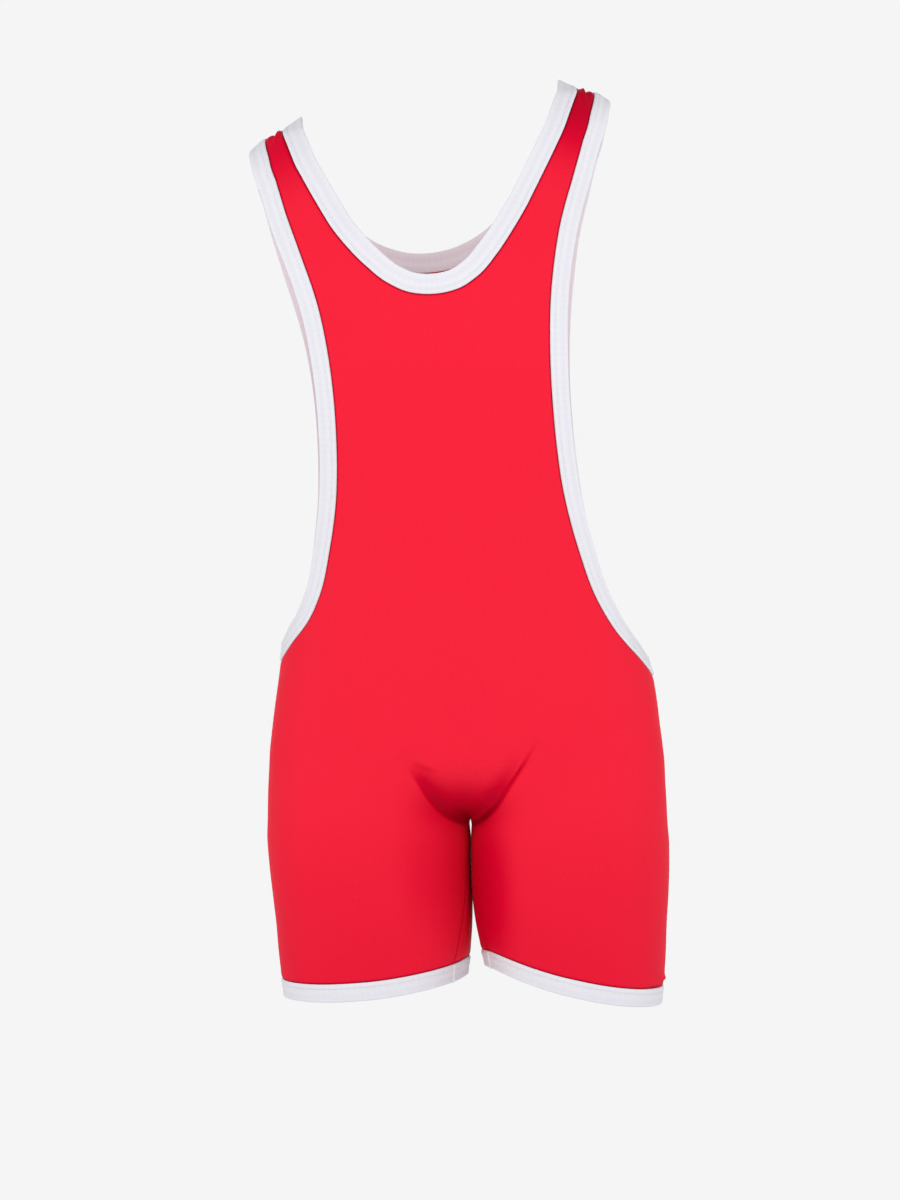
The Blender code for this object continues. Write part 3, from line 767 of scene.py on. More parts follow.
@dataclass(frozen=True)
class Pattern:
    """The chart of the figure and the seams that are cut on it."""

    figure: Figure
    trunk_row: float = -0.545
    crotch_row: float = -0.680
    hem_row: float = -0.7797
    row_bend: float = 2.2
    inseam_forward: float = math.radians(28)
    shoulder_outer: float = -0.0017
    shoulder_inner: float = 0.0047
    armhole_bottom: float = -0.4985
    side_samples: int = 1200
    flat_rows: int = 120
    flat_columns: int = 61
    curve_steps: int = 24
    seam_samples: int = 240
    chart_width: float = 0.18

    def on_centre(self, across: Array, outer: Array) -> Array:
        """Which places lie on the centre line, which ends at the crotch."""
        return (across >= 1) & (outer >= self.crotch_row - TINY)

    def place(self, across: Array, outer: Array, face: Face) -> Array:
        """Points of the figure at places of the chart.

        Args:
            across: 0 at the side line to 1 at the centre line or the inseam.
            outer: The height of the row at the side line.
            face: The front or the back.

        Returns:
            One point for each place.
        """
        across, outer = np.broadcast_arrays(np.asarray(across, float), np.asarray(outer, float))
        low = np.clip((self.crotch_row - outer) / (self.crotch_row - self.hem_row), 0, 1)
        bend, crest = HEM_RISES[face]
        rise = (1 - low) * across**self.row_bend + low * across**bend * (1 + crest * (1 - across))
        z = outer + (read(ROWS, outer)[0] - outer) * rise
        order = slice(None, None, -face.value)
        half_width, *depths = read(TRUNK, z)
        angle = across * math.pi / 2
        trunk_power, thigh_power = 2 / self.figure.trunk_power, 2 / self.figure.thigh_power
        trunk_x = half_width * np.cos(angle) ** trunk_power
        trunk_y = depths[order][0] * np.sin(angle) ** trunk_power
        angle = across * (math.pi + face.value * self.inseam_forward * low)
        centre, half_width, *depths = read(THIGHS, z)
        thigh_x = centre + half_width * signed_power(np.cos(angle), thigh_power)
        depth = np.where(angle <= math.pi, *depths[order])
        thigh_y = depth * signed_power(np.sin(angle), thigh_power)
        leg = ramp(outer, self.trunk_row, self.crotch_row)
        x = np.where(self.on_centre(across, outer), 0, (1 - leg) * trunk_x + leg * thigh_x)
        y = (1 - leg) * trunk_y + leg * thigh_y
        return self.figure.settle(np.stack([x, face.value * y, z], -1).reshape(-1, 3))

    @cached_property
    def side_line(self) -> tuple[Array, Array]:
        """Heights down the side line, and the length of cloth down to each."""
        heights = np.linspace(TRUNK[0].z, self.hem_row, self.side_samples)
        return heights, lengths_along(self.place(0, heights, Face.FRONT))

    def down_at(self, outer: Array) -> Array:
        """Length down the side line to a row."""
        heights, lengths = self.side_line
        return np.interp(-np.asarray(outer, float), -heights, lengths)

    def row_at(self, down: Array) -> Array:
        """The row at a length down the side line."""
        heights, lengths = self.side_line
        return np.interp(down, lengths, heights)

    def across_at(self, half_width: float, z: float) -> Array:
        """The place across for a half-width of the trunk at a height."""
        share = np.minimum(1, half_width / read(TRUNK, z)[0])
        return np.arccos(share ** (self.figure.trunk_power / 2)) / (math.pi / 2)

    def flat_lay(self, face: Face) -> FlatLay:
        """The flat lay of a half panel.

        Args:
            face: The front or the back.

        Returns:
            The lay, with a row for each step down the side line.
        """
        downs = np.linspace(0, self.side_line[1][-1], self.flat_rows)
        across = np.linspace(0, 1, self.flat_columns)
        points = self.place(across, self.row_at(downs)[:, None], face)
        rings = points.reshape(len(downs), len(across), 3)
        return FlatLay(downs, np.array([lengths_along(ring) for ring in rings]))

    def drawn_curve(self, places: Sequence[tuple[float, float]]) -> Array:
        """A smooth curve through places of the chart, square to the lines that it ends on.

        Args:
            places: The places that the curve runs through.

        Returns:
            Closely spaced places on it.
        """
        knots_at = np.asarray(places, float)
        lengths = lengths_along(knots_at * (self.chart_width, 1))
        before, after = knots_at[1] * (-1, 1), knots_at[-2] * (-1, 1) + (2 * knots_at[-1][0], 0)
        more = np.concatenate([[before], knots_at, [after]])
        knots = np.concatenate([[-lengths[1]], lengths, [2 * lengths[-1] - lengths[-2]]])
        return spline(knots, more, np.linspace(0, lengths[-1], self.curve_steps * len(places)))

    def seam_places(self, seam: Seam, face: Face) -> Array:
        """A seam or edge of a half panel as places of the chart, in its order round the panel.

        Args:
            seam: The seam.
            face: The front or the back.

        Returns:
            Closely spaced places along it.
        """
        bottom, hem, crotch = (
            float(self.down_at(row)) for row in (self.armhole_bottom, self.hem_row, self.crotch_row)
        )
        if seam in (Seam.NECK, Seam.SHOULDER, Seam.CENTRE):
            hollows = NECK_FRONT if face is Face.FRONT else NECK_BACK
            places = [(0.0, float(self.down_at(self.shoulder_inner)))]
            places += [(float(self.across_at(h.half_width, h.z)), float(self.down_at(h.z))) for h in hollows]
            neck = self.drawn_curve(places)
        if seam in (Seam.SHOULDER, Seam.ARMHOLE):
            places = [(0.0, float(self.down_at(self.shoulder_outer)))]
            for cut in ARMHOLE:
                half_width = cut.front if face is Face.FRONT else cut.back
                places.append((float(self.across_at(half_width, cut.z)), float(self.down_at(cut.z))))
            armhole = self.drawn_curve([*places, (0.0, bottom)])
        match seam:
            case Seam.NECK:
                return neck[::-1]
            case Seam.ARMHOLE:
                return armhole
            case Seam.SHOULDER:
                ends = neck[0], armhole[0]
            case Seam.SIDE:
                ends = (0, bottom), (0, hem)
            case Seam.HEM:
                ends = (0, hem), (1, hem)
            case Seam.INSEAM:
                ends = (1, hem), (1, crotch)
            case Seam.CENTRE:
                ends = (1, crotch), (1, neck[-1][1])
        return np.linspace(*ends, self.seam_samples)

    def seam_points(self, seam: Seam, face: Face) -> Array:
        """A seam as closely spaced points of the figure, on +X."""
        places = self.seam_places(seam, face)
        return self.place(places[:, 0], self.row_at(places[:, 1]), face)

    def even_places(self, seam: Seam, face: Face, step: float) -> Array:
        """Places of a seam at even steps of the cloth.

        Args:
            seam: The seam.
            face: The front or the back.
            step: The step of cloth.

        Returns:
            The places, with both ends.
        """
        places = self.seam_places(seam, face)
        lengths = lengths_along(self.place(places[:, 0], self.row_at(places[:, 1]), face))
        at = np.linspace(0, lengths[-1], max(2, round(lengths[-1] / step)) + 1)
        found = np.stack([np.interp(at, lengths, values) for values in places.T], 1)
        found[0], found[-1] = places[0], places[-1]
        return found


@dataclass(frozen=True)
class Relief:
    """Heights of the knit over the figure: the folds of the solids, fine creases and a slight unevenness."""

    figure: Figure
    fold_bluntness: float = 0.6
    course_points: int = 60
    ridge_at: float = 2.0
    ridge_width: float = 1.1
    bump_reach: float = 3.0
    fine_spacing: int = 3
    uneven: float = 0.00025
    uneven_scale: float = 14.0
    uneven_seed: float = 7.0
    rimple: float = 0.00006
    rimple_scale: float = 70.0
    rimple_seed: float = 3.0

    def folds(self, points: Array, face: Face) -> Array:
        """How far the soft folds draw each point in.

        Args:
            points: Points of the figure.
            face: The front or the back.

        Returns:
            One depth for each point.
        """
        depths = np.zeros(len(points))
        for fold in (fold for fold in FOLDS if fold.face is face):
            near, far = np.array([fold.near_x, fold.near_z]), np.array([fold.far_x, fold.far_z])
            view = points[:, [0, 2]] - near
            along = np.clip(view @ (far - near) / ((far - near) ** 2).sum(), 0, 1)
            aside = np.linalg.norm(view - along[:, None] * (far - near), axis=1)
            trough = bump(aside, fold.half_width) * np.sin(math.pi * along) ** self.fold_bluntness
            depths += np.where(points[:, 1] * face.value > 0, fold.depth * trough, 0)
        return depths

    def course(self, crease: Crease) -> Array:
        """Closely spaced points of the figure along a crease."""
        knots = np.array(crease.course)
        lengths = lengths_along(knots)
        at = np.linspace(0, lengths[-1], self.course_points)
        return self.figure.settle(spline(lengths, knots, at))

    def crease(self, crease: Crease, points: Array, out: Array) -> Array:
        """Heights of one crease and its ridge at points of the figure.

        Args:
            crease: The crease.
            points: Points of the figure.
            out: The ways out of the figure at the points.

        Returns:
            One height for each point.
        """
        course = self.course(crease)
        slope = crease.slope or crease.width
        to_ridge = crease.width * (self.ridge_at + self.bump_reach * self.ridge_width)
        reach = max(to_ridge, self.bump_reach * slope)
        low, high = course.min(0) - reach, course.max(0) + reach
        near = np.flatnonzero(((points > low) & (points < high)).all(1))
        heights = np.zeros(len(points))
        if not len(near):
            return heights
        away = points[near, None] - course
        nearest = np.linalg.norm(away, axis=2).argmin(1)
        tangents = unit(np.gradient(course, axis=0))[nearest]
        offset = away[np.arange(len(near)), nearest]
        square = offset - (offset * tangents).sum(1)[:, None] * tangents
        inner = (nearest > 0) & (nearest < len(course) - 1)
        distance = np.linalg.norm(np.where(inner[:, None], square, offset), axis=1)
        side = np.sign((np.cross(out[near], tangents) * offset).sum(1)) * crease.ridge_side
        share = nearest / (len(course) - 1)
        strength = ramp(share, -TINY, crease.fade_in) * ramp(share, 1 + TINY, 1 - crease.fade_out)
        beside = distance * side - self.ridge_at * crease.width
        heights[near] = strength * (
            crease.ridge * bump(beside, self.ridge_width * crease.width)
            - crease.depth * bump(distance, np.where(side < 0, slope, crease.width))
        )
        return heights

    def creases(self, points: Array, out: Array, face: Face) -> Array:
        """The heights of all the creases of a face at points of the figure."""
        total = np.zeros(len(points))
        for crease in (crease for crease in CREASES if crease.face in (face, None)):
            total += self.crease(crease, points, out)
        return total

    def heights(self, points: Array, out: Array, face: Face) -> Array:
        """The knit's height over the figure at points of it, away from its seams."""
        total = self.creases(points, out, face) - self.folds(points, face)
        total += self.uneven * rolled(points, self.uneven_scale, self.uneven_seed)
        return total + self.rimple * rolled(points, self.rimple_scale, self.rimple_seed)

    def fine_spots(self, points: Array, spots: Array, face: Face, most_width: float) -> Array:
        """Spots of the flat lay along the fine creases of a face, and of their mirror images.

        Args:
            points: Points of the figure.
            spots: The same points on the flat lay.
            face: The front or the back.
            most_width: The width up to which a crease counts as fine.

        Returns:
            The spots nearest to the courses.
        """
        found = []
        for crease in CREASES:
            if crease.face in (face, None) and crease.width <= most_width:
                course = self.course(crease)[:: self.fine_spacing] * (np.sign(crease.course[0][0]), 1, 1)
                away = np.linalg.norm(points[:, None] - course, axis=2)
                found.append(spots[away.argmin(0)])
        return np.concatenate(found)


class NodeBoard:
    """A node tree that is filled by short calls."""

    noise_detail = 3.0
    noise_roughness = 0.55
    wave_rate = 20.0  # radians of a wave texture in each metre, at a scale of 1
    mix_factor, mix_first, mix_second, mix_result = 0, 6, 7, 2  # sockets of a Mix node for colours

    def __init__(self, tree: bpy.types.NodeTree) -> None:
        """Starts with an empty tree."""
        self.tree = tree
        tree.nodes.clear()

    def add(self, kind: str, **settings: object) -> Node:
        """Adds a node.

        Args:
            kind: The node's type.
            settings: Its properties. A name that starts with in_ sets the default of that input.

        Returns:
            The new node.
        """
        node = self.tree.nodes.new(kind)
        for name, value in settings.items():
            if not name.startswith("in_"):
                setattr(node, name, value)
        for name, value in settings.items():
            if name.startswith("in_"):
                node.inputs[name[3:].replace("_", " ")].default_value = value
        return node

    def link(self, start: Socket, end: Socket) -> None:
        """Joins an output to an input."""
        self.tree.links.new(start, end)

    def tone(self, where: Socket, scale: float) -> Socket:
        """A smooth noise from 0 to 1.

        Args:
            where: The coordinates.
            scale: How fine it is.

        Returns:
            The noise.
        """
        detail, roughness = self.noise_detail, self.noise_roughness
        tone = self.add("ShaderNodeTexNoise", in_Scale=scale, in_Detail=detail, in_Roughness=roughness)
        self.link(where, tone.inputs["Vector"])
        return tone.outputs["Fac"]

    def wave(self, where: Socket, axis: str, length: float, stray: float) -> Socket:
        """A wave from 0 to 1 along one axis.

        Args:
            where: The coordinates.
            axis: The axis, X or Y.
            length: The length of one wave.
            stray: How far the waves stray.

        Returns:
            The wave.
        """
        rate = math.tau / (self.wave_rate * length)
        wave = self.add(
            "ShaderNodeTexWave", bands_direction=axis, wave_profile="SIN", in_Scale=rate, in_Distortion=stray
        )
        self.link(where, wave.inputs["Vector"])
        return wave.outputs["Fac"]

    def arithmetic(self, kind: str, first: Socket, second: Socket | float) -> Socket:
        """One step of arithmetic.

        Args:
            kind: The operation.
            first: The first value.
            second: The second value.

        Returns:
            The result.
        """
        step = self.add("ShaderNodeMath", operation=kind)
        self.link(first, step.inputs[0])
        if isinstance(second, float):
            step.inputs[1].default_value = second
        else:
            self.link(second, step.inputs[1])
        return step.outputs[0]

    def mix(self, factor: Socket, first: Socket | Colour, second: Colour, blend: str = "MIX") -> Socket:
        """Mixes two colours.

        Args:
            factor: The share of the second.
            first: The first colour.
            second: The second colour.
            blend: The way of mixing.

        Returns:
            The mixed colour.
        """
        mixed = self.add("ShaderNodeMix", data_type="RGBA", blend_type=blend)
        self.link(factor, mixed.inputs[self.mix_factor])
        if isinstance(first, tuple):
            mixed.inputs[self.mix_first].default_value = first
        else:
            self.link(first, mixed.inputs[self.mix_first])
        mixed.inputs[self.mix_second].default_value = second
        return mixed.outputs[self.mix_result]


class MaterialBoard(NodeBoard):
    """The node tree of a new material, with its shader, the piece's coordinates and a slow noise on them."""

    def __init__(self, finish: "Finish") -> None:
        """Makes the material and its shader.

        Args:
            finish: Gives the name, the gloss and the sheen.
        """
        self.material = bpy.data.materials.new(finish.name)
        self.material.use_nodes = True
        self.material.diffuse_color = finish.colour
        super().__init__(self.material.node_tree)
        output = self.add("ShaderNodeOutputMaterial")
        self.shader = self.add(
            "ShaderNodeBsdfPrincipled",
            in_Metallic=0.0,
            in_Roughness=finish.roughness,
            in_Specular_IOR_Level=finish.specular,
            in_Sheen_Weight=finish.sheen,
            in_Sheen_Roughness=finish.sheen_roughness,
            in_Sheen_Tint=finish.sheen_tint,
        )
        self.link(self.shader.outputs["BSDF"], output.inputs["Surface"])
        self.where = self.add("ShaderNodeTexCoord").outputs["Object"]
        self.slow = self.tone(self.where, finish.variation_scale)

    def finished(
        self, colour: Socket, height: Socket | None = None, bump: float = 0.0, strength: float = 0.0
    ) -> None:
        """Joins the pattern to the shader.

        Args:
            colour: The base colour.
            height: The relief, where there is one.
            bump: How high a relief of 1 stands.
            strength: How strongly it shows.
        """
        self.link(colour, self.shader.inputs["Base Color"])
        if height is not None:
            bumped = self.add("ShaderNodeBump", in_Strength=strength, in_Distance=bump)
            self.link(height, bumped.inputs["Height"])
            self.link(bumped.outputs["Normal"], self.shader.inputs["Normal"])


@dataclass(frozen=True)
class Finish:
    """A plain material: a base colour that varies a little, gloss and sheen."""

    name: str
    colour: Colour
    deeper: Colour
    roughness: float
    specular: float
    sheen: float = 0.0
    sheen_tint: Colour = (1.0, 1.0, 1.0, 1.0)
    sheen_roughness: float = 0.45
    variation_scale: float = 11.0

    def build(self) -> bpy.types.Material:
        """Makes the material.

        Returns:
            The material, with its shader dressed.
        """
        board = MaterialBoard(self)
        self.dress(board)
        return board.material

    def dress(self, board: MaterialBoard) -> None:
        """Gives the shader the base colour alone."""
        board.finished(board.mix(board.slow, self.colour, self.deeper))


@dataclass(frozen=True)
class KnitFinish(Finish):
    """A smooth stretch knit: a slight ripple along the cut, a soft grain, and painted shade as deeper reds at
    shade spots, crease troughs and seam valleys.
    """

    bump: float = 0.00012
    strength: float = 0.5
    ripple_across: float = 0.005655
    ripple_down: float = 0.004398
    stray_across: float = 0.6
    stray_down: float = 0.8
    ripple_shade: float = 0.4
    grain_scale: float = 1400.0
    mottle_scale: float = 420.0
    grain: float = 0.12
    shaded: Colour = (0.72, 0.50, 0.55, 1.0)
    # Painted shade: the red is darkened first to a half-shaded red and then to a deep shaded red.
    half_shade_at: float = 0.35
    half_shade_red: Colour = (0.70, 0.0, 0.027, 1.0)
    deep_shade_red: Colour = (0.19, 0.0, 0.008, 1.0)

    def dress(self, board: MaterialBoard) -> None:
        """Gives the shader its reds, darkened in two steps by painted shade, its grain and its ripple.

        Args:
            board: The material's board.
        """
        flat = board.add("ShaderNodeUVMap", uv_map=UV_NAME).outputs["UV"]
        across = board.wave(flat, "X", self.ripple_across, self.stray_across)
        down = board.wave(flat, "Y", self.ripple_down, self.stray_down)
        ripple = board.arithmetic("MULTIPLY", across, down)
        grain = board.tone(board.where, self.grain_scale)
        # Painted shade: the panels' attribute of painted shade darkens the red in two steps.
        painted_shade = board.add("ShaderNodeAttribute", attribute_name=PAINTED_SHADE).outputs["Fac"]
        half_shade_share = board.arithmetic("DIVIDE", painted_shade, self.half_shade_at)
        half_shade_red = board.mix(half_shade_share, board.mix(board.slow, self.colour, self.deeper), self.half_shade_red)
        beyond = board.arithmetic("SUBTRACT", painted_shade, self.half_shade_at)
        shade_painted = board.mix(board.arithmetic("DIVIDE", beyond, 1 - self.half_shade_at), half_shade_red, self.deep_shade_red)
        faint = board.arithmetic("ADD", board.arithmetic("MULTIPLY", ripple, self.ripple_shade), grain)
        fine = board.arithmetic("ADD", faint, board.tone(board.where, self.mottle_scale))
        shade = board.arithmetic("MULTIPLY", fine, self.grain)
        colour = board.mix(shade, shade_painted, self.shaded, "MULTIPLY")
        board.finished(colour, board.arithmetic("ADD", ripple, grain), self.bump, self.strength)


@dataclass(frozen=True)
class BindingFinish(Finish):
    """A firm folded binding: a soft swell and ripple, a faint lavender streak of painted shade along its low
    middle and a slight lint.
    """

    bump: float = 0.00018
    strength: float = 0.6
    swell: float = 0.008168
    swell_stray: float = 0.5
    ripple: float = 0.005718
    ripple_stray: float = 1.2
    ripple_share: float = 0.35
    lint_scale: float = 900.0
    relief_shade: float = 0.14
    shaded: Colour = (0.72, 0.71, 0.78, 1.0)
    # Painted shade: a faint lavender streak where shade falls in the low middle of the binding.
    middle_shade_across: float = 0.0105
    middle_shade_width: float = 0.0030
    middle_shade_share: float = 0.6
    middle_shade: Colour = (0.760, 0.735, 0.805, 1.0)

    def dress(self, board: MaterialBoard) -> None:
        """Gives the shader its white, the painted shade along its middle, its soft relief and its lint.

        Args:
            board: The material's board.
        """
        flat = board.add("ShaderNodeUVMap", uv_map=UV_NAME).outputs["UV"]
        swell = board.wave(flat, "Y", self.swell, self.swell_stray)
        ripple = board.wave(flat, "X", self.ripple, self.ripple_stray)
        relief = board.arithmetic("ADD", swell, board.arithmetic("MULTIPLY", ripple, self.ripple_share))
        apart = board.add("ShaderNodeSeparateXYZ")
        board.link(flat, apart.inputs[0])
        # Painted shade along the binding's low middle, fading out to each side.
        from_middle_shade = board.arithmetic("SUBTRACT", apart.outputs["Y"], self.middle_shade_across)
        near_middle_shade = board.add(
            "ShaderNodeMapRange",
            interpolation_type="SMOOTHSTEP",
            in_From_Max=self.middle_shade_width,
            in_To_Min=self.middle_shade_share,
            in_To_Max=0.0,
        )
        board.link(board.arithmetic("ABSOLUTE", from_middle_shade, 0.0), near_middle_shade.inputs["Value"])
        body = board.mix(board.slow, self.colour, self.deeper)
        middle_shaded = board.mix(near_middle_shade.outputs["Result"], body, self.middle_shade)
        shade = board.arithmetic("MULTIPLY", relief, self.relief_shade)
        colour = board.mix(shade, middle_shaded, self.shaded, "MULTIPLY")
        lint = board.tone(board.where, self.lint_scale)
        board.finished(colour, board.arithmetic("ADD", relief, lint), self.bump, self.strength)


@dataclass(frozen=True)
class ThreadFinish(Finish):
    """A spun sewing thread, with a fine twist and slight changes of tone."""

    bump: float = 0.00005
    strength: float = 0.5
    variation_scale: float = 60.0
    twist_scale: float = 2600.0
    twist_share: float = 0.5

    def dress(self, board: MaterialBoard) -> None:
        """Gives the shader its tones and its twist.

        Args:
            board: The material's board.
        """
        twist = board.tone(board.where, self.twist_scale)
        both = board.arithmetic("MULTIPLY", board.arithmetic("ADD", twist, board.slow), self.twist_share)
        board.finished(board.mix(both, self.colour, self.deeper), twist, self.bump, self.strength)


@dataclass
class Finishes:
    """The finishes of the garment, each made once."""

    knit: bpy.types.Material = field(init=False)
    binding: bpy.types.Material = field(init=False)
    white_thread: bpy.types.Material = field(init=False)
    red_thread: bpy.types.Material = field(init=False)

    def __post_init__(self) -> None:
        """Builds the four materials."""
        pink = (1.0, 0.35, 0.42, 1.0)
        self.knit = KnitFinish(
            "red_stretch_knit",
            colour=(0.90, 0.0165, 0.0445, 1.0),
            deeper=(0.87, 0.0150, 0.0410, 1.0),
            roughness=0.56,
            sheen=0.01,
            sheen_tint=pink,
            specular=0.04,
        ).build()
        self.binding = BindingFinish(
            "white_ribbed_binding",
            colour=(0.795, 0.797, 0.838, 1.0),
            deeper=(0.765, 0.762, 0.812, 1.0),
            roughness=0.68,
            sheen=0.12,
            specular=0.3,
        ).build()
        self.white_thread = ThreadFinish(
            "white_thread",
            colour=(0.88, 0.87, 0.90, 1.0),
            deeper=(0.78, 0.77, 0.81, 1.0),
            roughness=0.5,
            sheen=0.1,
            specular=0.4,
        ).build()
        self.red_thread = ThreadFinish(
            "red_thread",
            colour=(0.85, 0.0200, 0.0500, 1.0),
            deeper=(0.70, 0.0100, 0.0320, 1.0),
            roughness=0.5,
            sheen=0.1,
            sheen_tint=pink,
            specular=0.4,
        ).build()


def new_piece(name: str, mesh: bpy.types.Mesh, finish: bpy.types.Material) -> Piece:
    """Puts a finished mesh in the scene and makes it ride on the garment's one body.

    Args:
        name: The piece's name.
        mesh: Its mesh, in place.
        finish: Its material.

    Returns:
        The new object.
    """
    mesh.materials.clear()
    mesh.materials.append(finish)
    made = bpy.data.objects.new(name, mesh)
    bpy.context.scene.collection.objects.link(made)
    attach(made, BODY)
    log.info("%s: %d triangles", name, sum(len(face.vertices) - 2 for face in mesh.polygons))
    return made


def shell_mesh(
    name: str, points: Array, faces: Sequence[Sequence[int]], cloth: Array
) -> bpy.types.Mesh:
    """A smooth closed mesh with a map of its cloth.

    Args:
        name: The mesh's name.
        points: Its points.
        faces: Its faces, as lists of indices.
        cloth: For each point, its spot on the cloth in metres.

    Returns:
        The mesh.
    """
    mesh = bpy.data.meshes.new(name)
    mesh.from_pydata(points.tolist(), [], faces)
    corners = np.zeros(len(mesh.loops), np.int32)
    mesh.loops.foreach_get("vertex_index", corners)
    layer = mesh.uv_layers.new(name=UV_NAME)
    layer.uv.foreach_set("vector", cloth[corners].astype(np.float32).ravel())
    mesh.validate()
    mesh.shade_smooth()
    mesh.set_sharp_from_angle(angle=SHARP_ANGLE)
    return mesh


class StitchKind(NamedTuple):
    """A kind of stitch: its length, its thickness, its pitch and how far it is slanted from the row."""

    length: float
    thickness: float
    pitch: float
    slant: float


class Sewing(Enum):
    """The kinds of stitching on the garment."""

    TOPSTITCH = StitchKind(0.0025, 0.00050, 0.0030, 0.0)
    OVERLOCK_LOOPS = StitchKind(0.0046, 0.00036, 0.0021, math.radians(68))
    OVERLOCK_CHAIN = StitchKind(0.0020, 0.00042, 0.0021, 0.0)
    SEAM_RUNGS = StitchKind(0.0016, 0.00050, 0.0030, math.radians(90))


class StitchRow(NamedTuple):
    """Places of stitches, with the directions along the row and out of the cloth."""

    points: Array
    along: Array
    out: Array


@dataclass
class StitchMaker:
    """Sets stitches on rows of places with one tree of Geometry Nodes."""

    segments: int = 6
    rings: int = 5
    seed: int = 11
    wobble: float = 0.07
    tree: bpy.types.NodeTree = field(init=False)

    def __post_init__(self) -> None:
        """Builds the tree: a ball one unit long at each place, stretched to a stitch and turned."""
        self.tree = bpy.data.node_groups.new("stitch_row", "GeometryNodeTree")
        face = self.tree.interface
        face.new_socket("Places", in_out="INPUT", socket_type="NodeSocketGeometry")
        for name in ("Length", "Thickness", "Slant"):
            face.new_socket(name, in_out="INPUT", socket_type="NodeSocketFloat")
        face.new_socket("Seed", in_out="INPUT", socket_type="NodeSocketInt")
        face.new_socket("Thread", in_out="INPUT", socket_type="NodeSocketMaterial")
        face.new_socket("Stitches", in_out="OUTPUT", socket_type="NodeSocketGeometry")
        board = NodeBoard(self.tree)
        given = board.add("NodeGroupInput")
        result = board.add("NodeGroupOutput")
        stitch = board.add(
            "GeometryNodeMeshUVSphere", in_Segments=self.segments, in_Rings=self.rings, in_Radius=0.5
        )
        along = board.add("GeometryNodeInputNamedAttribute", data_type="FLOAT_VECTOR", in_Name="along")
        out = board.add("GeometryNodeInputNamedAttribute", data_type="FLOAT_VECTOR", in_Name="out")
        facing = board.add("FunctionNodeAxesToRotation", primary_axis="Z", secondary_axis="X")
        board.link(out.outputs["Attribute"], facing.inputs["Primary Axis"])
        board.link(along.outputs["Attribute"], facing.inputs["Secondary Axis"])
        wobble = board.add("FunctionNodeRandomValue", data_type="FLOAT")
        wobble.inputs[2].default_value = -self.wobble
        wobble.inputs[3].default_value = self.wobble
        board.link(given.outputs["Seed"], wobble.inputs["Seed"])
        angle = board.add("ShaderNodeMath", operation="ADD")
        board.link(given.outputs["Slant"], angle.inputs[0])
        board.link(wobble.outputs[1], angle.inputs[1])
        slanted = board.add("FunctionNodeAxisAngleToRotation", in_Axis=(0, 0, 1))
        board.link(angle.outputs[0], slanted.inputs["Angle"])
        turned = board.add("FunctionNodeRotateRotation", rotation_space="LOCAL")
        board.link(facing.outputs["Rotation"], turned.inputs["Rotation"])
        board.link(slanted.outputs["Rotation"], turned.inputs["Rotate By"])
        size = board.add("ShaderNodeCombineXYZ")
        board.link(given.outputs["Length"], size.inputs["X"])
        board.link(given.outputs["Thickness"], size.inputs["Y"])
        board.link(given.outputs["Thickness"], size.inputs["Z"])
        placed = board.add("GeometryNodeInstanceOnPoints")
        board.link(given.outputs["Places"], placed.inputs["Points"])
        board.link(stitch.outputs["Mesh"], placed.inputs["Instance"])
        board.link(turned.outputs["Rotation"], placed.inputs["Rotation"])
        board.link(size.outputs["Vector"], placed.inputs["Scale"])
        real = board.add("GeometryNodeRealizeInstances")
        board.link(placed.outputs["Instances"], real.inputs["Geometry"])
        smooth = board.add("GeometryNodeSetShadeSmooth")
        board.link(real.outputs["Geometry"], smooth.inputs["Geometry"])
        dressed = board.add("GeometryNodeSetMaterial")
        board.link(smooth.outputs["Geometry"], dressed.inputs["Geometry"])
        board.link(given.outputs["Thread"], dressed.inputs["Material"])
        board.link(dressed.outputs["Geometry"], result.inputs["Stitches"])

    def socket(self, name: str) -> str:
        """The identifier of one of the tree's inputs.

        Args:
            name: The input's name.

        Returns:
            The identifier.
        """
        return next(
            item.identifier
            for item in self.tree.interface.items_tree
            if item.in_out == "INPUT" and item.name == name
        )

    def sew(
        self, name: str, rows: Sequence[StitchRow], sewing: Sewing, thread: bpy.types.Material
    ) -> Piece:
        """Makes the stitches of some rows as one plain piece.

        Args:
            name: The piece's name.
            rows: Where the stitches go.
            sewing: Their kind.
            thread: Their material.

        Returns:
            The new piece.
        """
        points, along, out = (np.concatenate([row[i] for row in rows]) for i in range(3))
        places = bpy.data.meshes.new(f"{name}_places")
        places.from_pydata(points.tolist(), [], [])
        for label, values in (("along", along), ("out", out)):
            attribute = places.attributes.new(label, "FLOAT_VECTOR", "POINT")
            attribute.data.foreach_set("vector", values.astype(np.float32).ravel())
        holder = bpy.data.objects.new(f"{name}_holder", places)
        bpy.context.scene.collection.objects.link(holder)
        modifier = holder.modifiers.new("stitches", "NODES")
        modifier.node_group = self.tree
        kind = sewing.value
        modifier[self.socket("Length")] = kind.length
        modifier[self.socket("Thickness")] = kind.thickness
        modifier[self.socket("Slant")] = kind.slant
        modifier[self.socket("Seed")] = self.seed
        modifier[self.socket("Thread")] = thread
        graph = bpy.context.evaluated_depsgraph_get()
        mesh = bpy.data.meshes.new_from_object(holder.evaluated_get(graph))
        mesh.name = name
        bpy.data.objects.remove(holder)
        return new_piece(name, mesh, thread)


class HalfSheet(NamedTuple):
    """One half of a panel: its flat spots, its points on the figure and its triangles."""

    spots: Array
    points: Array
    faces: Array
    centred: Array
    to_seam: Array
    to_bound: Array
    bound: Array


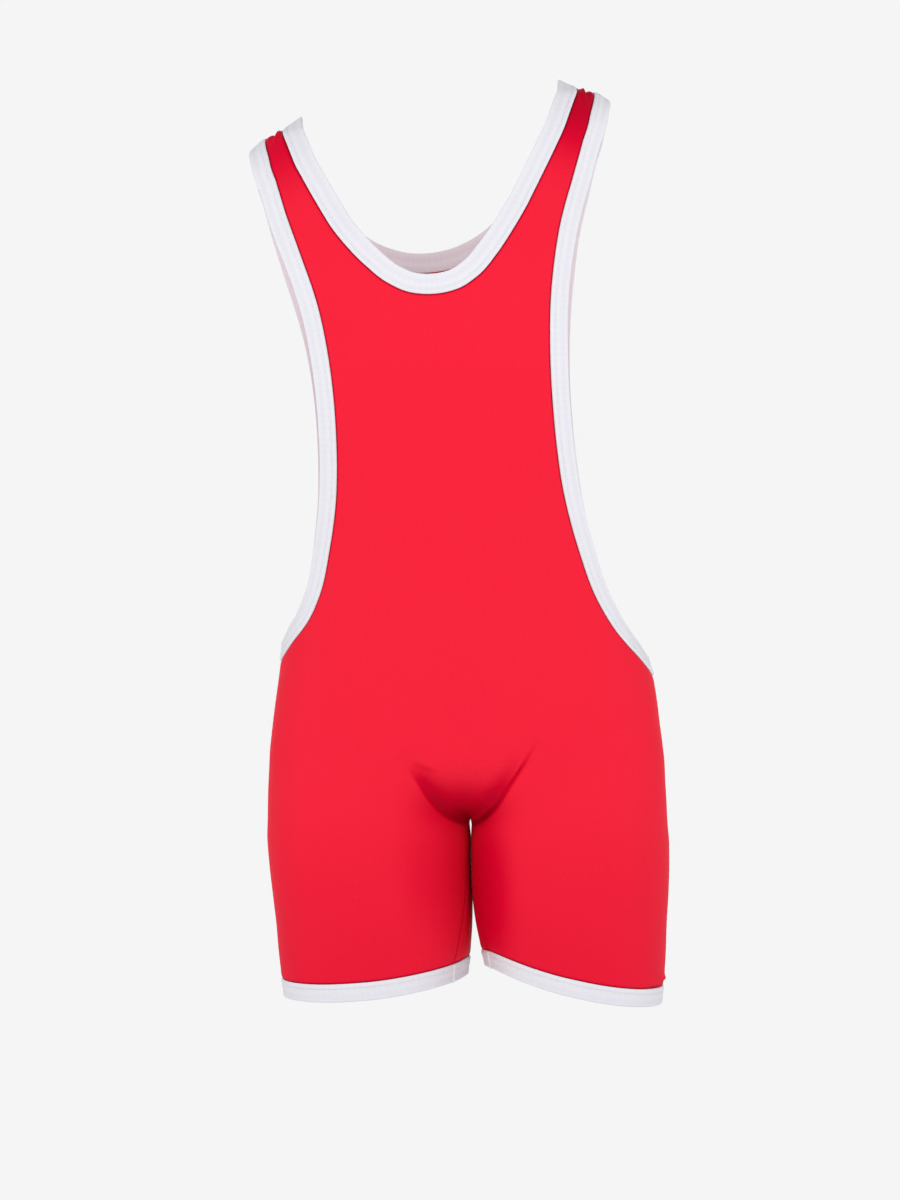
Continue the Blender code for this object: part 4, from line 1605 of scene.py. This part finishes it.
@dataclass
class Panel:
    """The front or the back, cut in one, as a thin shell with its creases."""

    name: str
    node: str
    face: Face
    pattern: Pattern
    wearing: Wearing
    relief: Relief
    wall: float = 0.0009
    step: float = 0.0036
    fine_step: float = 0.0014
    fine_reach: float = 0.0085
    most_fine_width: float = 0.0042
    edge_step: float = 0.0020
    edge_rows: tuple[float, ...] = (0.0005, 0.0012, 0.0024)
    row_clearance: float = 0.6
    centre_clearance: float = 0.55
    row_share: float = 0.9
    row_to_centre: float = 0.0008
    seam_dip: float = 0.0006
    seam_roll: float = 0.0013
    seam_swell: float = 0.00022
    swell_at: float = 0.0042
    swell_width: float = 0.0030
    tongue: float = 0.0004
    # Painted shade: a dark red line in the seam valleys, a deeper red in the crease troughs, and how the
    # shade spots fade.
    seam_shade_start: float = 0.0003
    seam_shade_end: float = 0.0016
    plain_seam_shade: float = 0.55
    plain_seam_shade_end: float = 0.0009
    crease_shade_depth: float = 0.0035
    crease_shade_share: float = 0.42
    shade_spot_fall: float = 3.0
    stretch_across: float = 1.10
    stretch_along: float = 1.03

    def edges(self) -> tuple[Array, Array, Array]:
        """The half panel's edge.

        Returns:
            Its places on the chart, which of them are sewn to a binding and which run down the centre.
        """
        places, bound, centre = [], [], []
        for seam in Seam:
            part = self.pattern.even_places(seam, self.face, self.edge_step)[:-1]
            places.append(part)
            bound.append(np.full(len(part), seam in BOUND_SEAMS))
            centre.append(np.full(len(part), seam is Seam.CENTRE))
        joined = np.concatenate(bound)
        starts = joined | np.roll(joined, 1)
        return np.concatenate(places), starts, np.concatenate(centre)

    def inner_spots(self, outline: Array, centre: Array, lay: FlatLay) -> tuple[Array, Array]:
        """Spots inside the half panel: rows along its seams, and lattices that are fine at creases.

        Args:
            outline: The flat outline.
            centre: Which of its edges run down the centre line.
            lay: The flat lay.

        Returns:
            The spots, and the distance of each to the nearest seam.
        """
        ends = np.roll(outline, -1, 0)
        seam_edges = outline[~centre], ends[~centre]
        centre_edges = outline[centre], ends[centre]
        low, high = outline.min(0), outline.max(0)
        coarse = lattice(low, high, self.step)
        coarse = coarse[within(coarse, outline)]
        places = lay.lift(coarse)
        points = self.pattern.place(places[:, 0], self.pattern.row_at(places[:, 1]), self.face)
        creased = self.relief.fine_spots(points, coarse, self.face, self.most_fine_width)
        fine = lattice(low, high, self.fine_step)
        fine = fine[distance_to(fine, creased, creased) < self.fine_reach]
        fine = fine[within(fine, outline)]
        coarse = coarse[distance_to(coarse, creased, creased) > self.fine_reach + self.step / 2]
        kept, apart = [], []
        last = self.edge_rows[-1]
        for spots, step in ((coarse, self.step), (fine, self.fine_step)):
            to_seam, to_centre = distance_to(spots, *seam_edges), distance_to(spots, *centre_edges)
            chosen = (to_seam > last + self.row_clearance * step) & (to_centre > self.centre_clearance * step)
            kept.append(spots[chosen])
            apart.append(to_seam[chosen])
        turn = np.sign(np.cross(outline, ends).sum())
        for row in self.edge_rows:
            side = ends - outline
            inwards = turn * unit(np.stack([-side[:, 1], side[:, 0]], 1))
            inwards = unit(inwards + np.roll(inwards, 1, 0))
            spots = (outline + inwards * row)[~centre & ~np.roll(centre, 1)]
            to_seam, to_centre = distance_to(spots, *seam_edges), distance_to(spots, *centre_edges)
            chosen = (to_seam > self.row_share * row) & (to_centre > self.row_to_centre)
            chosen &= within(spots, outline)
            kept.append(spots[chosen])
            apart.append(to_seam[chosen])
        return np.concatenate(kept), np.concatenate(apart)

    def half(self) -> HalfSheet:
        """Makes the half on +X.

        Returns:
            The half, with its distances to the seams.
        """
        lay = self.pattern.flat_lay(self.face)
        edge, bound, centre = self.edges()
        outline = lay.lay(edge)
        inner, to_seam = self.inner_spots(outline, centre, lay)
        spots = np.concatenate([outline, inner])
        found = delaunay_2d_cdt(
            [tuple(spot) for spot in spots], [], [list(range(len(outline)))], 1, TINY
        )
        origins = np.array([origin[0] for origin in found[3]])
        faces = origins[np.array(found[2])]
        places = np.concatenate([edge, lay.lift(inner)])
        across, outer = places[:, 0], self.pattern.row_at(places[:, 1])
        ends = np.roll(outline, -1, 0)
        on_edge = distance_to(outline, outline[~centre], ends[~centre])
        sewn = bound & np.roll(bound, -1)
        return HalfSheet(
            lay.from_centre(spots),
            self.pattern.place(across, outer, self.face),
            faces,
            self.pattern.on_centre(across, outer),
            np.concatenate([on_edge, to_seam]),
            distance_to(spots, outline[sewn], ends[sewn]),
            np.concatenate([bound, np.zeros(len(inner), bool)]),
        )

    @staticmethod
    def edge_of(faces: Array) -> Array:
        """The directed edges round a sheet, with the cloth on the left of each."""
        pairs = np.concatenate([faces[:, [0, 1]], faces[:, [1, 2]], faces[:, [2, 0]]])
        size = faces.max() + 1
        keys, others = pairs[:, 0] * size + pairs[:, 1], pairs[:, 1] * size + pairs[:, 0]
        return pairs[~np.isin(keys, others)]

    def tongues(self, points: Array, out: Array, faces: Array, bound: Array) -> Array:
        """How far each point of the edge goes on under its binding.

        Args:
            points: Points of the figure.
            out: The ways out of the figure at the points.
            faces: The sheet's triangles.
            bound: Which points are sewn to a binding.

        Returns:
            One move for each point.
        """
        edge = self.edge_of(faces)
        edge = edge[bound[edge].all(1)]
        along = points[edge[:, 1]] - points[edge[:, 0]]
        outwards = -unit(np.cross(out[edge[:, 0]] + out[edge[:, 1]], along))
        moves = np.zeros_like(points)
        for corner in edge.T:
            np.add.at(moves, corner, outwards)
        return self.tongue * np.where(bound[:, None], unit(moves), 0)

    def painted_shade(self, points: Array, out: Array, to_seam: Array, to_bound: Array) -> Array:
        """How much shade is painted into the red at each point: at the shade spots, in the troughs of creases
        and in the seam valleys.

        Args:
            points: Points of the figure.
            out: The ways out of the figure at the points.
            to_seam: Distances to the nearest seam.
            to_bound: Distances to the nearest binding.

        Returns:
            A share from 0 to 1 for each point.
        """
        # Painted shade: deeper red in crease troughs, at the binding seams, along every seam and at the shade
        # spots.
        troughs = -self.relief.creases(points, out, self.face) / self.crease_shade_depth
        shares = [self.crease_shade_share * np.clip(troughs, 0, 1)]
        shares.append(1 - ramp(to_bound, self.seam_shade_start, self.seam_shade_end))
        shares.append(self.plain_seam_shade * (1 - ramp(to_seam, self.seam_shade_start, self.plain_seam_shade_end)))
        for spot in SHADE_SPOTS:
            across, up = (points[:, 0] - spot.x) / spot.half_width, (points[:, 2] - spot.z) / spot.half_height
            shares.append(spot.share * np.exp(-(np.hypot(across, up) ** self.shade_spot_fall)))
        return 1 - np.prod(1 - np.array(shares), axis=0)

    def build(self, finishes: Finishes, with_pieces: Sequence[Piece]) -> Piece:
        """Args:
            finishes: The garment's finishes.
            with_pieces: The sewing that belongs to the panel; not used.

        Returns:
            The piece.
        """
        half = self.half()
        count = len(half.points)
        others = np.where(half.centred, np.arange(count), count + np.cumsum(~half.centred) - 1)
        points = np.concatenate([half.points, half.points[~half.centred] * MIRROR])
        faces = np.concatenate([half.faces, others[half.faces][:, ::-1]])
        cloth = np.concatenate([half.spots, half.spots[~half.centred] * (-1, 1)])
        to_seam = np.concatenate([half.to_seam, half.to_seam[~half.centred]])
        to_bound = np.concatenate([half.to_bound, half.to_bound[~half.centred]])
        bound = np.concatenate([half.bound, half.bound[~half.centred]])
        out = self.relief.figure.normals(points)
        corners = points[faces]
        flat = np.cross(corners[:, 1] - corners[:, 0], corners[:, 2] - corners[:, 0])
        if (flat * out[faces[:, 0]]).sum() < 0:
            faces = faces[:, ::-1]
        height = self.relief.heights(points, out, self.face)
        height += self.seam_swell * bump(to_seam - self.swell_at, self.swell_width)
        height -= self.seam_dip * bump(to_seam, self.seam_roll)
        outside = points + self.tongues(points, out, faces, bound) + out * height[:, None]
        both = self.wearing.worn(np.concatenate([outside, outside - out * self.wall]))
        rim = self.edge_of(faces)
        size = len(points)
        sides = np.concatenate(
            [
                np.stack([rim[:, 1], rim[:, 0], rim[:, 0] + size], 1),
                np.stack([rim[:, 1], rim[:, 0] + size, rim[:, 1] + size], 1),
            ]
        )
        triangles = np.concatenate([faces, faces[:, ::-1] + size, sides])
        used = np.zeros(2 * size, bool)
        used[triangles] = True
        renumbered = np.cumsum(used) - 1
        mesh = shell_mesh(
            self.name, both[used], renumbered[triangles].tolist(), np.concatenate([cloth, cloth])[used]
        )
        # The painted shade goes on the mesh as a point attribute for the knit's material.
        painted_shade = np.tile(self.painted_shade(points, out, to_seam, to_bound), 2)[used]
        attribute = mesh.attributes.new(PAINTED_SHADE, "FLOAT", "POINT")
        attribute.data.foreach_set("value", painted_shade.astype(np.float32))
        piece = new_piece(self.name, mesh, finishes.knit)
        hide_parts(self.node)
        return piece


@dataclass
class Ring:
    """A closed seam that a binding is sewn to, measured by the length round it."""

    dense: Array
    join_index: int
    figure: Figure
    mirror: bool = False
    smoothing: int = 9
    closed: Array = field(init=False)
    lengths: Array = field(init=False)
    aside: Array = field(init=False)
    join: float = field(init=False)

    def __post_init__(self) -> None:
        """Measures the ring and finds the direction off the panels all round it."""
        self.closed = np.concatenate([self.dense, self.dense[:1]])
        self.lengths = lengths_along(self.closed)
        self.join = float(self.lengths[self.join_index])
        along = np.roll(self.dense, -1, 0) - np.roll(self.dense, 1, 0)
        aside = unit(np.cross(self.figure.normals(self.dense), along))
        half = self.smoothing // 2
        aside = unit(sum(np.roll(aside, shift, 0) for shift in range(-half, half + 1)))
        self.aside = np.concatenate([aside, aside[:1]])

    @property
    def length(self) -> float:
        """The length round the ring."""
        return float(self.lengths[-1])

    def at(self, lengths: Array, across: float | Array) -> Array:
        """Points of the figure at lengths round the ring and a distance off the panels.

        Args:
            lengths: Lengths round the ring.
            across: The distance off the panels.

        Returns:
            One point for each length.
        """
        lengths = np.mod(lengths, self.length)
        points = np.stack([np.interp(lengths, self.lengths, values) for values in self.closed.T], 1)
        aside = unit(np.stack([np.interp(lengths, self.lengths, values) for values in self.aside.T], 1))
        found = self.figure.settle(points + aside * np.reshape(across, (-1, 1)))
        return found * MIRROR if self.mirror else found


@dataclass
class Binding:
    """A ring of binding with its raised lip, its row of topstitching, its join and its overlocked seam."""

    name: str
    node: str
    width: float
    ring: Ring
    wearing: Wearing
    full_width: float = 0.018
    fixed_width: float = 0.0058
    stitch_across: float = 0.0047
    stitch_height: float = 0.00068
    pull: float = 0.00022
    pull_width: float = 0.0008
    join_ridge: float = 0.0009
    join_groove: float = 0.0002
    join_width: float = 0.0008
    groove_at: float = 2.2
    groove_width: float = 0.7
    join_lip: float = 0.0006
    join_reach: float = 0.0036
    join_step: float = 0.0004
    uneven: float = 0.00016
    uneven_scale: float = 55.0
    uneven_seed: float = 2.0
    edge_share: float = 0.8
    edge_wobble: float = 0.00025
    wobble_scale: float = 30.0
    wobble_seed: float = 5.0
    overlock_across: float = 0.0024
    overlock_height: float = -0.00210
    chain_across: float = 0.0047
    chain_height: float = -0.00195
    stretch_along: float = 1.06

    @property
    def pitch(self) -> float:
        """The pitch of the topstitching, for a whole number of stitches round the ring."""
        return self.ring.length / round(self.ring.length / Sewing.TOPSTITCH.value.pitch)

    def fitted(self, across: float) -> float:
        """A distance of the cross-section, fitted to this binding's width.

        Args:
            across: A distance across the full width.

        Returns:
            The same place across this binding.
        """
        if across <= self.fixed_width:
            return across
        return self.fixed_width + (across - self.fixed_width) * (self.width - self.fixed_width) / (
            self.full_width - self.fixed_width
        )

    def from_join(self, lengths: Array) -> Array:
        """How far lengths round the ring lie from the join."""
        half = self.ring.length / 2
        return np.abs(np.mod(lengths - self.ring.join + half, self.ring.length) - half)

    def stations(self) -> Array:
        """Lengths round the ring where the cross-section stands, closer together at the join."""
        even = np.arange(round(self.ring.length / self.pitch * 2)) * self.pitch / 2
        close = self.ring.join + np.arange(-self.join_reach, self.join_reach + TINY, self.join_step)
        kept = np.concatenate([even[self.from_join(even) > self.join_reach + self.join_step], close])
        return np.sort(np.mod(kept, self.ring.length))

    def lift_at(self, lengths: Array, across: float, height: float, points: Array) -> Array:
        """Heights of the cross-section's outer points: drawn in at each stitch and raised at the join.

        Args:
            lengths: Lengths round the ring.
            across: The distance from the seam.
            height: The height of the cross-section there.
            points: Points of the figure.

        Returns:
            One height for each length.
        """
        away = self.from_join(lengths)
        drawn = 0.5 + 0.5 * np.cos(2 * math.pi * lengths / self.pitch)
        lift = height - self.pull * drawn * bump(np.array(across - self.stitch_across), self.pull_width)
        lift = lift + self.uneven * rolled(points, self.uneven_scale, self.uneven_seed)
        if across > TINY:
            lift = lift + self.join_ridge * bump(away, self.join_width)
            beside = away - self.groove_at * self.join_width
            lift = lift - self.join_groove * bump(beside, self.join_width * self.groove_width)
        return lift

    def mesh(self) -> bpy.types.Mesh:
        """Makes the closed ring of cross-sections.

        Returns:
            The mesh, in place.
        """
        lengths = self.stations()
        count = len(lengths)
        rows, cloth = [], []
        for contours, outside in ((BINDING_OUTSIDE, True), (BINDING_INSIDE, False)):
            for contour in contours:
                across = self.fitted(contour.across)
                points = self.ring.at(lengths, across)
                if across > self.width * self.edge_share:
                    wobble = self.edge_wobble * rolled(points, self.wobble_scale, self.wobble_seed)
                    wobble *= across / self.width
                    lip = self.join_lip * bump(self.from_join(lengths), self.join_width)
                    points = self.ring.at(lengths, across + wobble + lip)
                out = self.ring.figure.normals(points)
                height = np.full(count, contour.height)
                if outside:
                    height = self.lift_at(lengths, across, contour.height, points)
                rows.append(points + out * height[:, None])
                cloth.append(np.stack([lengths, np.full(count, across)], 1))
        one = np.arange(count)
        two = (one + 1) % count
        faces = []
        for row in range(len(rows)):
            start, after = row * count, (row + 1) % len(rows) * count
            faces.append(np.stack([start + one, start + two, after + two, after + one], 1))
        faces = np.concatenate(faces)
        points = np.concatenate(rows)
        if self.ring.mirror:
            faces = faces[:, ::-1]
        return shell_mesh(self.name, self.wearing.worn(points), faces.tolist(), np.concatenate(cloth))

    def stitch_row(
        self, across: float, height: float, kind: Sewing, offset: float, inside: bool
    ) -> StitchRow:
        """Places of stitches round the binding.

        Args:
            across: Their distance from the seam.
            height: Their height.
            kind: The kind of stitch.
            offset: Where the first one stands, in pitches.
            inside: Whether they face into the garment.

        Returns:
            The places with their directions.
        """
        steps = round(self.ring.length / kind.value.pitch)
        pitch = self.ring.length / steps
        lengths = (np.arange(steps) + offset) * pitch
        points = self.ring.at(lengths, across)
        ahead = self.ring.at(lengths + pitch / 4, across) - self.ring.at(lengths - pitch / 4, across)
        out = self.ring.figure.normals(points)
        placed = points + out * height
        facing = -out if inside else out
        return StitchRow(
            self.wearing.worn(placed),
            self.wearing.turned(points, unit(ahead)),
            self.wearing.turned(points, facing),
        )

    def build(self, finishes: Finishes, stitches: StitchMaker, rests_on: Sequence[Piece]) -> Piece:
        """Args:
            finishes: The garment's finishes.
            stitches: Sets the stitches.
            rests_on: The panels that it is sewn to; not used.

        Returns:
            The piece.
        """
        piece = new_piece(self.name, self.mesh(), finishes.binding)
        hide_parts(self.node)
        for label, across, height, kind, offset, inside in (
            ("topstitch", self.stitch_across, self.stitch_height, Sewing.TOPSTITCH, 0.5, False),
            ("overlock", self.overlock_across, self.overlock_height, Sewing.OVERLOCK_LOOPS, 0.5, True),
            ("chain", self.chain_across, self.chain_height, Sewing.OVERLOCK_CHAIN, 0.0, True),
        ):
            row = self.stitch_row(across, height, kind, offset, inside)
            name = f"{self.name}_{label}"
            stitches.sew(name, [row], kind, finishes.white_thread)
        return piece


@dataclass
class Allowance:
    """The turned-in edges of a plain seam, overlocked together inside, with rungs of thread outside."""

    seam: Seam
    pattern: Pattern
    wearing: Wearing
    relief: Relief
    section: tuple[Contour, ...] = (
        Contour(-0.0003, -0.00085),
        Contour(0.0008, -0.00085),
        Contour(0.0046, -0.00085),
        Contour(0.0050, -0.00120),
        Contour(0.0047, -0.00170),
        Contour(0.0025, -0.00190),
        Contour(0.0004, -0.00185),
        Contour(-0.0003, -0.00150),
    )
    step: float = 0.0022
    inset: float = 0.0012
    rung_height: float = -0.00022
    loop_across: float = 0.0024
    loop_height: float = -0.00195

    def course(self, side: Side) -> tuple[Array, Array, Array, Array]:
        """The seam at even steps.

        Args:
            side: The side of the garment.

        Returns:
            The points, the direction along, the direction across towards the back, and the way out.
        """
        dense = self.pattern.seam_points(self.seam, Face.FRONT)
        if side is Side.RIGHT:
            dense = dense * MIRROR
        lengths = lengths_along(dense)
        steps = max(3, round((lengths[-1] - 2 * self.inset) / self.step))
        at = np.linspace(self.inset, lengths[-1] - self.inset, steps + 1)
        points = self.pattern.figure.settle(
            np.stack([np.interp(at, lengths, values) for values in dense.T], 1)
        )
        along = unit(np.gradient(points, axis=0))
        out = self.pattern.figure.normals(points)
        across = unit(np.cross(out, along))
        across = across * np.where(across[:, 1:2].mean() < 0, -1, 1)
        return points, along, across, out

    def raised(self, spots: Array, height: float) -> Array:
        """Spots of the figure raised to a height over the knit's creases."""
        out = self.pattern.figure.normals(spots)
        lift = self.relief.heights(spots, out, Face.FRONT) + height
        return spots + out * lift[:, None]

    def mesh(self) -> bpy.types.Mesh:
        """Makes the strips of both sides as one mesh, each closed at its ends.

        Returns:
            The mesh, in place.
        """
        points, faces, cloth = [], [], []
        base = 0
        for side in Side:
            course, along, across, _ = self.course(side)
            rows = []
            for contour in self.section:
                spot = self.pattern.figure.settle(course + across * contour.across)
                rows.append(self.raised(spot, contour.height))
            ring = np.stack(rows, 1)
            count, size = ring.shape[:2]
            handed = (np.cross(along[0], ring[0, 1] - ring[0, 0]) * (ring[0, -1] - ring[0, 0])).sum()
            one, row = np.arange(size), np.arange(count - 1)[:, None] * size
            two = (one + 1) % size
            quads = np.stack([row + one, row + two, row + size + two, row + size + one], -1).reshape(-1, 4)
            last = (count - 1) * size
            caps = [(0, i + 1, i, i) for i in range(1, size - 1)]
            caps += [(last, last + i, last + i + 1, last + i + 1) for i in range(1, size - 1)]
            part = np.concatenate([quads, np.array(caps)])
            faces.append((part if handed > 0 else part[:, ::-1]) + base)
            points.append(self.wearing.worn(ring.reshape(-1, 3)))
            down = np.repeat(lengths_along(course), size)
            cloth.append(np.stack([np.tile([c.across for c in self.section], count), down], 1))
            base += count * size
        no_repeats = [tuple(dict.fromkeys(face)) for face in np.concatenate(faces).tolist()]
        name = f"{self.seam.value}_allowance"
        return shell_mesh(name, np.concatenate(points), no_repeats, np.concatenate(cloth))

    def row(self, side: Side, across: float, height: float, inside: bool) -> StitchRow:
        """Places of stitches along the seam.

        Args:
            side: The side of the garment.
            across: The distance from the seam.
            height: Their height.
            inside: Whether they face into the garment.

        Returns:
            The places with their directions.
        """
        points, along, aside, out = self.course(side)
        spot = self.pattern.figure.settle(points + aside * across)
        facing = -out if inside else out
        return StitchRow(
            self.wearing.worn(self.raised(spot, height)),
            self.wearing.turned(points, along),
            self.wearing.turned(points, facing),
        )

    def build(self, finishes: Finishes, stitches: StitchMaker) -> list[Piece]:
        """Makes the strips, the overlocking on them and the rungs over the seam.

        Args:
            finishes: The garment's finishes.
            stitches: Sets the stitches.

        Returns:
            The three pieces.
        """
        name = self.seam.value
        loops = [self.row(side, self.loop_across, self.loop_height, inside=True) for side in Side]
        rungs = [self.row(side, 0.0, self.rung_height, inside=False) for side in Side]
        thread = finishes.red_thread
        return [
            new_piece(f"{name}_allowance", self.mesh(), finishes.knit),
            stitches.sew(f"{name}_overlock", loops, Sewing.OVERLOCK_LOOPS, thread),
            stitches.sew(f"{name}_rungs", rungs, Sewing.SEAM_RUNGS, thread),
        ]


@dataclass
class Singlet:
    """The whole garment: two panels, five bindings and their sewing."""

    finishes: Finishes
    stitches: StitchMaker
    figure: Figure = field(default_factory=Figure)
    wearing: Wearing = field(default_factory=Wearing)
    neck_width: float = 0.018
    armhole_width: float = 0.0174
    leg_width: float = 0.016
    pattern: Pattern = field(init=False)
    relief: Relief = field(init=False)

    def __post_init__(self) -> None:
        """Draws the pattern and its relief."""
        self.pattern = Pattern(self.figure)
        self.relief = Relief(self.figure)

    def ring(self, seam: Seam, mirror: bool) -> Ring:
        """The closed seam of an armhole or a hem, along the front and then back along the back."""
        front = self.pattern.seam_points(seam, Face.FRONT)
        back = self.pattern.seam_points(seam, Face.BACK)
        dense = np.concatenate([front, back[-2:0:-1]])
        return Ring(dense, len(front) - 1, self.figure, mirror)

    def neck_ring(self) -> Ring:
        """The closed seam of the neck, from the centre of the front round by the left shoulder."""
        front = self.pattern.seam_points(Seam.NECK, Face.FRONT)
        back = self.pattern.seam_points(Seam.NECK, Face.BACK)
        half = np.concatenate([front, back[-2::-1]])
        return Ring(np.concatenate([half, half[-2:0:-1] * MIRROR]), len(front) - 1, self.figure)

    def bindings(self) -> list[Binding]:
        """The five bindings, before they are built.

        Returns:
            The neck's, the armholes' and the legs'.
        """
        found = [Binding("neck_trim", "neck_binding", self.neck_width, self.neck_ring(), self.wearing)]
        for name, node, seam, width in (
            ("armhole_trim", "armhole_binding", Seam.ARMHOLE, self.armhole_width),
            ("leg_trim", "leg_band", Seam.HEM, self.leg_width),
        ):
            for side in Side:
                ring = self.ring(seam, mirror=side is Side.RIGHT)
                end = side.name.lower()
                found.append(Binding(f"{name}_{end}", f"{node}_{end}", width, ring, self.wearing))
        return found

    def build(self) -> None:
        """Builds every piece in order."""
        sewing: dict[Seam, list[Piece]] = {}
        for seam in (Seam.SHOULDER, Seam.SIDE, Seam.INSEAM):
            allowance = Allowance(seam, self.pattern, self.wearing, self.relief)
            sewing[seam] = allowance.build(self.finishes, self.stitches)
        front_sewing = [piece for pieces in sewing.values() for piece in pieces]
        panels = []
        for name, node, face, pieces in (
            ("front_knit", "front_panel", Face.FRONT, front_sewing),
            ("back_knit", "back_panel", Face.BACK, []),
        ):
            panel = Panel(name, node, face, self.pattern, self.wearing, self.relief)
            panels.append(panel.build(self.finishes, pieces))
        for binding in self.bindings():
            binding.build(self.finishes, self.stitches, panels)


class Light(NamedTuple):
    """A large soft light: its name, its place, its size and its power."""

    name: str
    place: tuple[float, float, float]
    size: float
    power: float


LIGHTS = (
    Light("front_left", (-0.9, -2.0, 0.35), 1.0, 11.4),
    Light("front_right", (0.9, -2.0, 0.35), 1.0, 11.9),
    Light("side_left", (-3.2, -0.9, 0.1), 1.8, 21.0),
    Light("side_right", (3.2, -0.9, 0.1), 1.8, 20.0),
    Light("back", (0.0, 3.5, 0.2), 2.4, 46.0),
)


@dataclass
class Studio:
    """A plain pale floor, soft light and the camera."""

    distance: float = 3.5
    camera_x: float = 0.0189
    camera_z: float = -0.437
    lens: float = 116.7
    sensor: float = 36.0
    floor_z: float = -1.45
    floor_rings: tuple[float, ...] = (0.9, 1.9, 2.8)
    floor_sides: int = 96
    lit_place: tuple[float, float, float] = (0.02, 0.0, -0.4)
    backdrop: Colour = (0.913, 0.913, 0.915, 1.0)
    ambient_below: float = 0.25
    ambient_level: float = 0.72
    ambient_above: float = 0.38

    def camera(self) -> None:
        """Sets up the camera, level and straight in front."""
        lens = bpy.data.cameras.new("camera")
        lens.lens = self.lens
        lens.sensor_width = self.sensor
        lens.clip_start, lens.clip_end = 0.05, 50.0
        made = bpy.data.objects.new("camera", lens)
        made.location = (self.camera_x, -self.distance, self.camera_z)
        made.rotation_euler = (math.pi / 2, 0, 0)
        bpy.context.scene.collection.objects.link(made)
        bpy.context.scene.camera = made

    def world(self) -> None:
        """Sets an even pale surrounding."""
        world = bpy.data.worlds.new("studio")
        world.use_nodes = True
        bpy.context.scene.world = world
        board = NodeBoard(world.node_tree)
        output = board.add("ShaderNodeOutputWorld")
        where = board.add("ShaderNodeTexCoord")
        apart = board.add("ShaderNodeSeparateXYZ")
        board.link(where.outputs["Generated"], apart.inputs[0])
        height = board.add("ShaderNodeMapRange", in_From_Min=-1.0)
        board.link(apart.outputs["Z"], height.inputs["Value"])
        falling = board.add("ShaderNodeValToRGB")
        board.link(height.outputs["Result"], falling.inputs["Fac"])
        falling.color_ramp.elements.new(0.5)
        levels = (self.ambient_below, self.ambient_level, self.ambient_above)
        for stop, level in zip(falling.color_ramp.elements, levels, strict=True):
            stop.color = (level, level, level, 1.0)
        seen = board.add("ShaderNodeBackground", in_Color=self.backdrop, in_Strength=1.0)
        ambient = board.add("ShaderNodeBackground", in_Strength=1.0)
        board.link(falling.outputs["Color"], ambient.inputs["Color"])
        path = board.add("ShaderNodeLightPath")
        mixed = board.add("ShaderNodeMixShader")
        board.link(path.outputs["Is Camera Ray"], mixed.inputs[0])
        board.link(ambient.outputs[0], mixed.inputs[1])
        board.link(seen.outputs[0], mixed.inputs[2])
        board.link(mixed.outputs[0], output.inputs["Surface"])

    def light(self, light: Light) -> None:
        """Adds a light that faces the garment and isn't seen itself.

        Args:
            light: Its row of the table.
        """
        lamp = bpy.data.lights.new(light.name, "AREA")
        lamp.shape = "DISK"
        lamp.size = light.size
        lamp.energy = light.power
        made = bpy.data.objects.new(light.name, lamp)
        made.location = light.place
        aim = Vector(self.lit_place) - made.location
        made.rotation_euler = aim.to_track_quat("-Z", "Y").to_euler()
        made.visible_camera = False
        bpy.context.scene.collection.objects.link(made)

    def floor(self) -> None:
        """Lays a round floor under the garment."""
        sides, rings = self.floor_sides, len(self.floor_rings)
        around = np.linspace(0, math.tau, sides, endpoint=False)
        circle = np.stack([np.cos(around), np.sin(around)], 1)
        points = np.concatenate([np.zeros((1, 2)), *(radius * circle for radius in self.floor_rings)])
        spans = [(i, (i + 1) % sides) for i in range(sides)]
        faces = [(0, 1 + one, 1 + two) for one, two in spans]
        for inner in range(1, 1 + (rings - 1) * sides, sides):
            outer = inner + sides
            faces += [(inner + one, outer + one, outer + two, inner + two) for one, two in spans]
        mesh = bpy.data.meshes.new("floor")
        mesh.from_pydata([(x, y, self.floor_z) for x, y in points.tolist()], [], faces)
        finish = Finish(
            "pale_floor",
            colour=(0.86, 0.86, 0.86, 1.0),
            deeper=(0.84, 0.84, 0.84, 1.0),
            roughness=0.8,
            specular=0.2,
            variation_scale=2.0,
        )
        mesh.materials.append(finish.build())
        made = bpy.data.objects.new("floor", mesh)
        bpy.context.scene.collection.objects.link(made)

    def build(self) -> None:
        """Builds the studio."""
        self.camera()
        self.world()
        for light in LIGHTS:
            self.light(light)
        self.floor()
        bpy.context.scene.view_settings.view_transform = "Standard"


def clear_scene() -> None:
    """Removes what a new scene starts with."""
    for thing in list(bpy.data.objects):
        bpy.data.objects.remove(thing)


def main() -> None:
    """Loads the frame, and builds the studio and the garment."""
    logging.basicConfig(level=logging.INFO, format="%(name)s: %(message)s")
    clear_scene()
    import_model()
    Studio().build()
    Singlet(Finishes(), StitchMaker()).build()


if __name__ == "__main__":
    main()
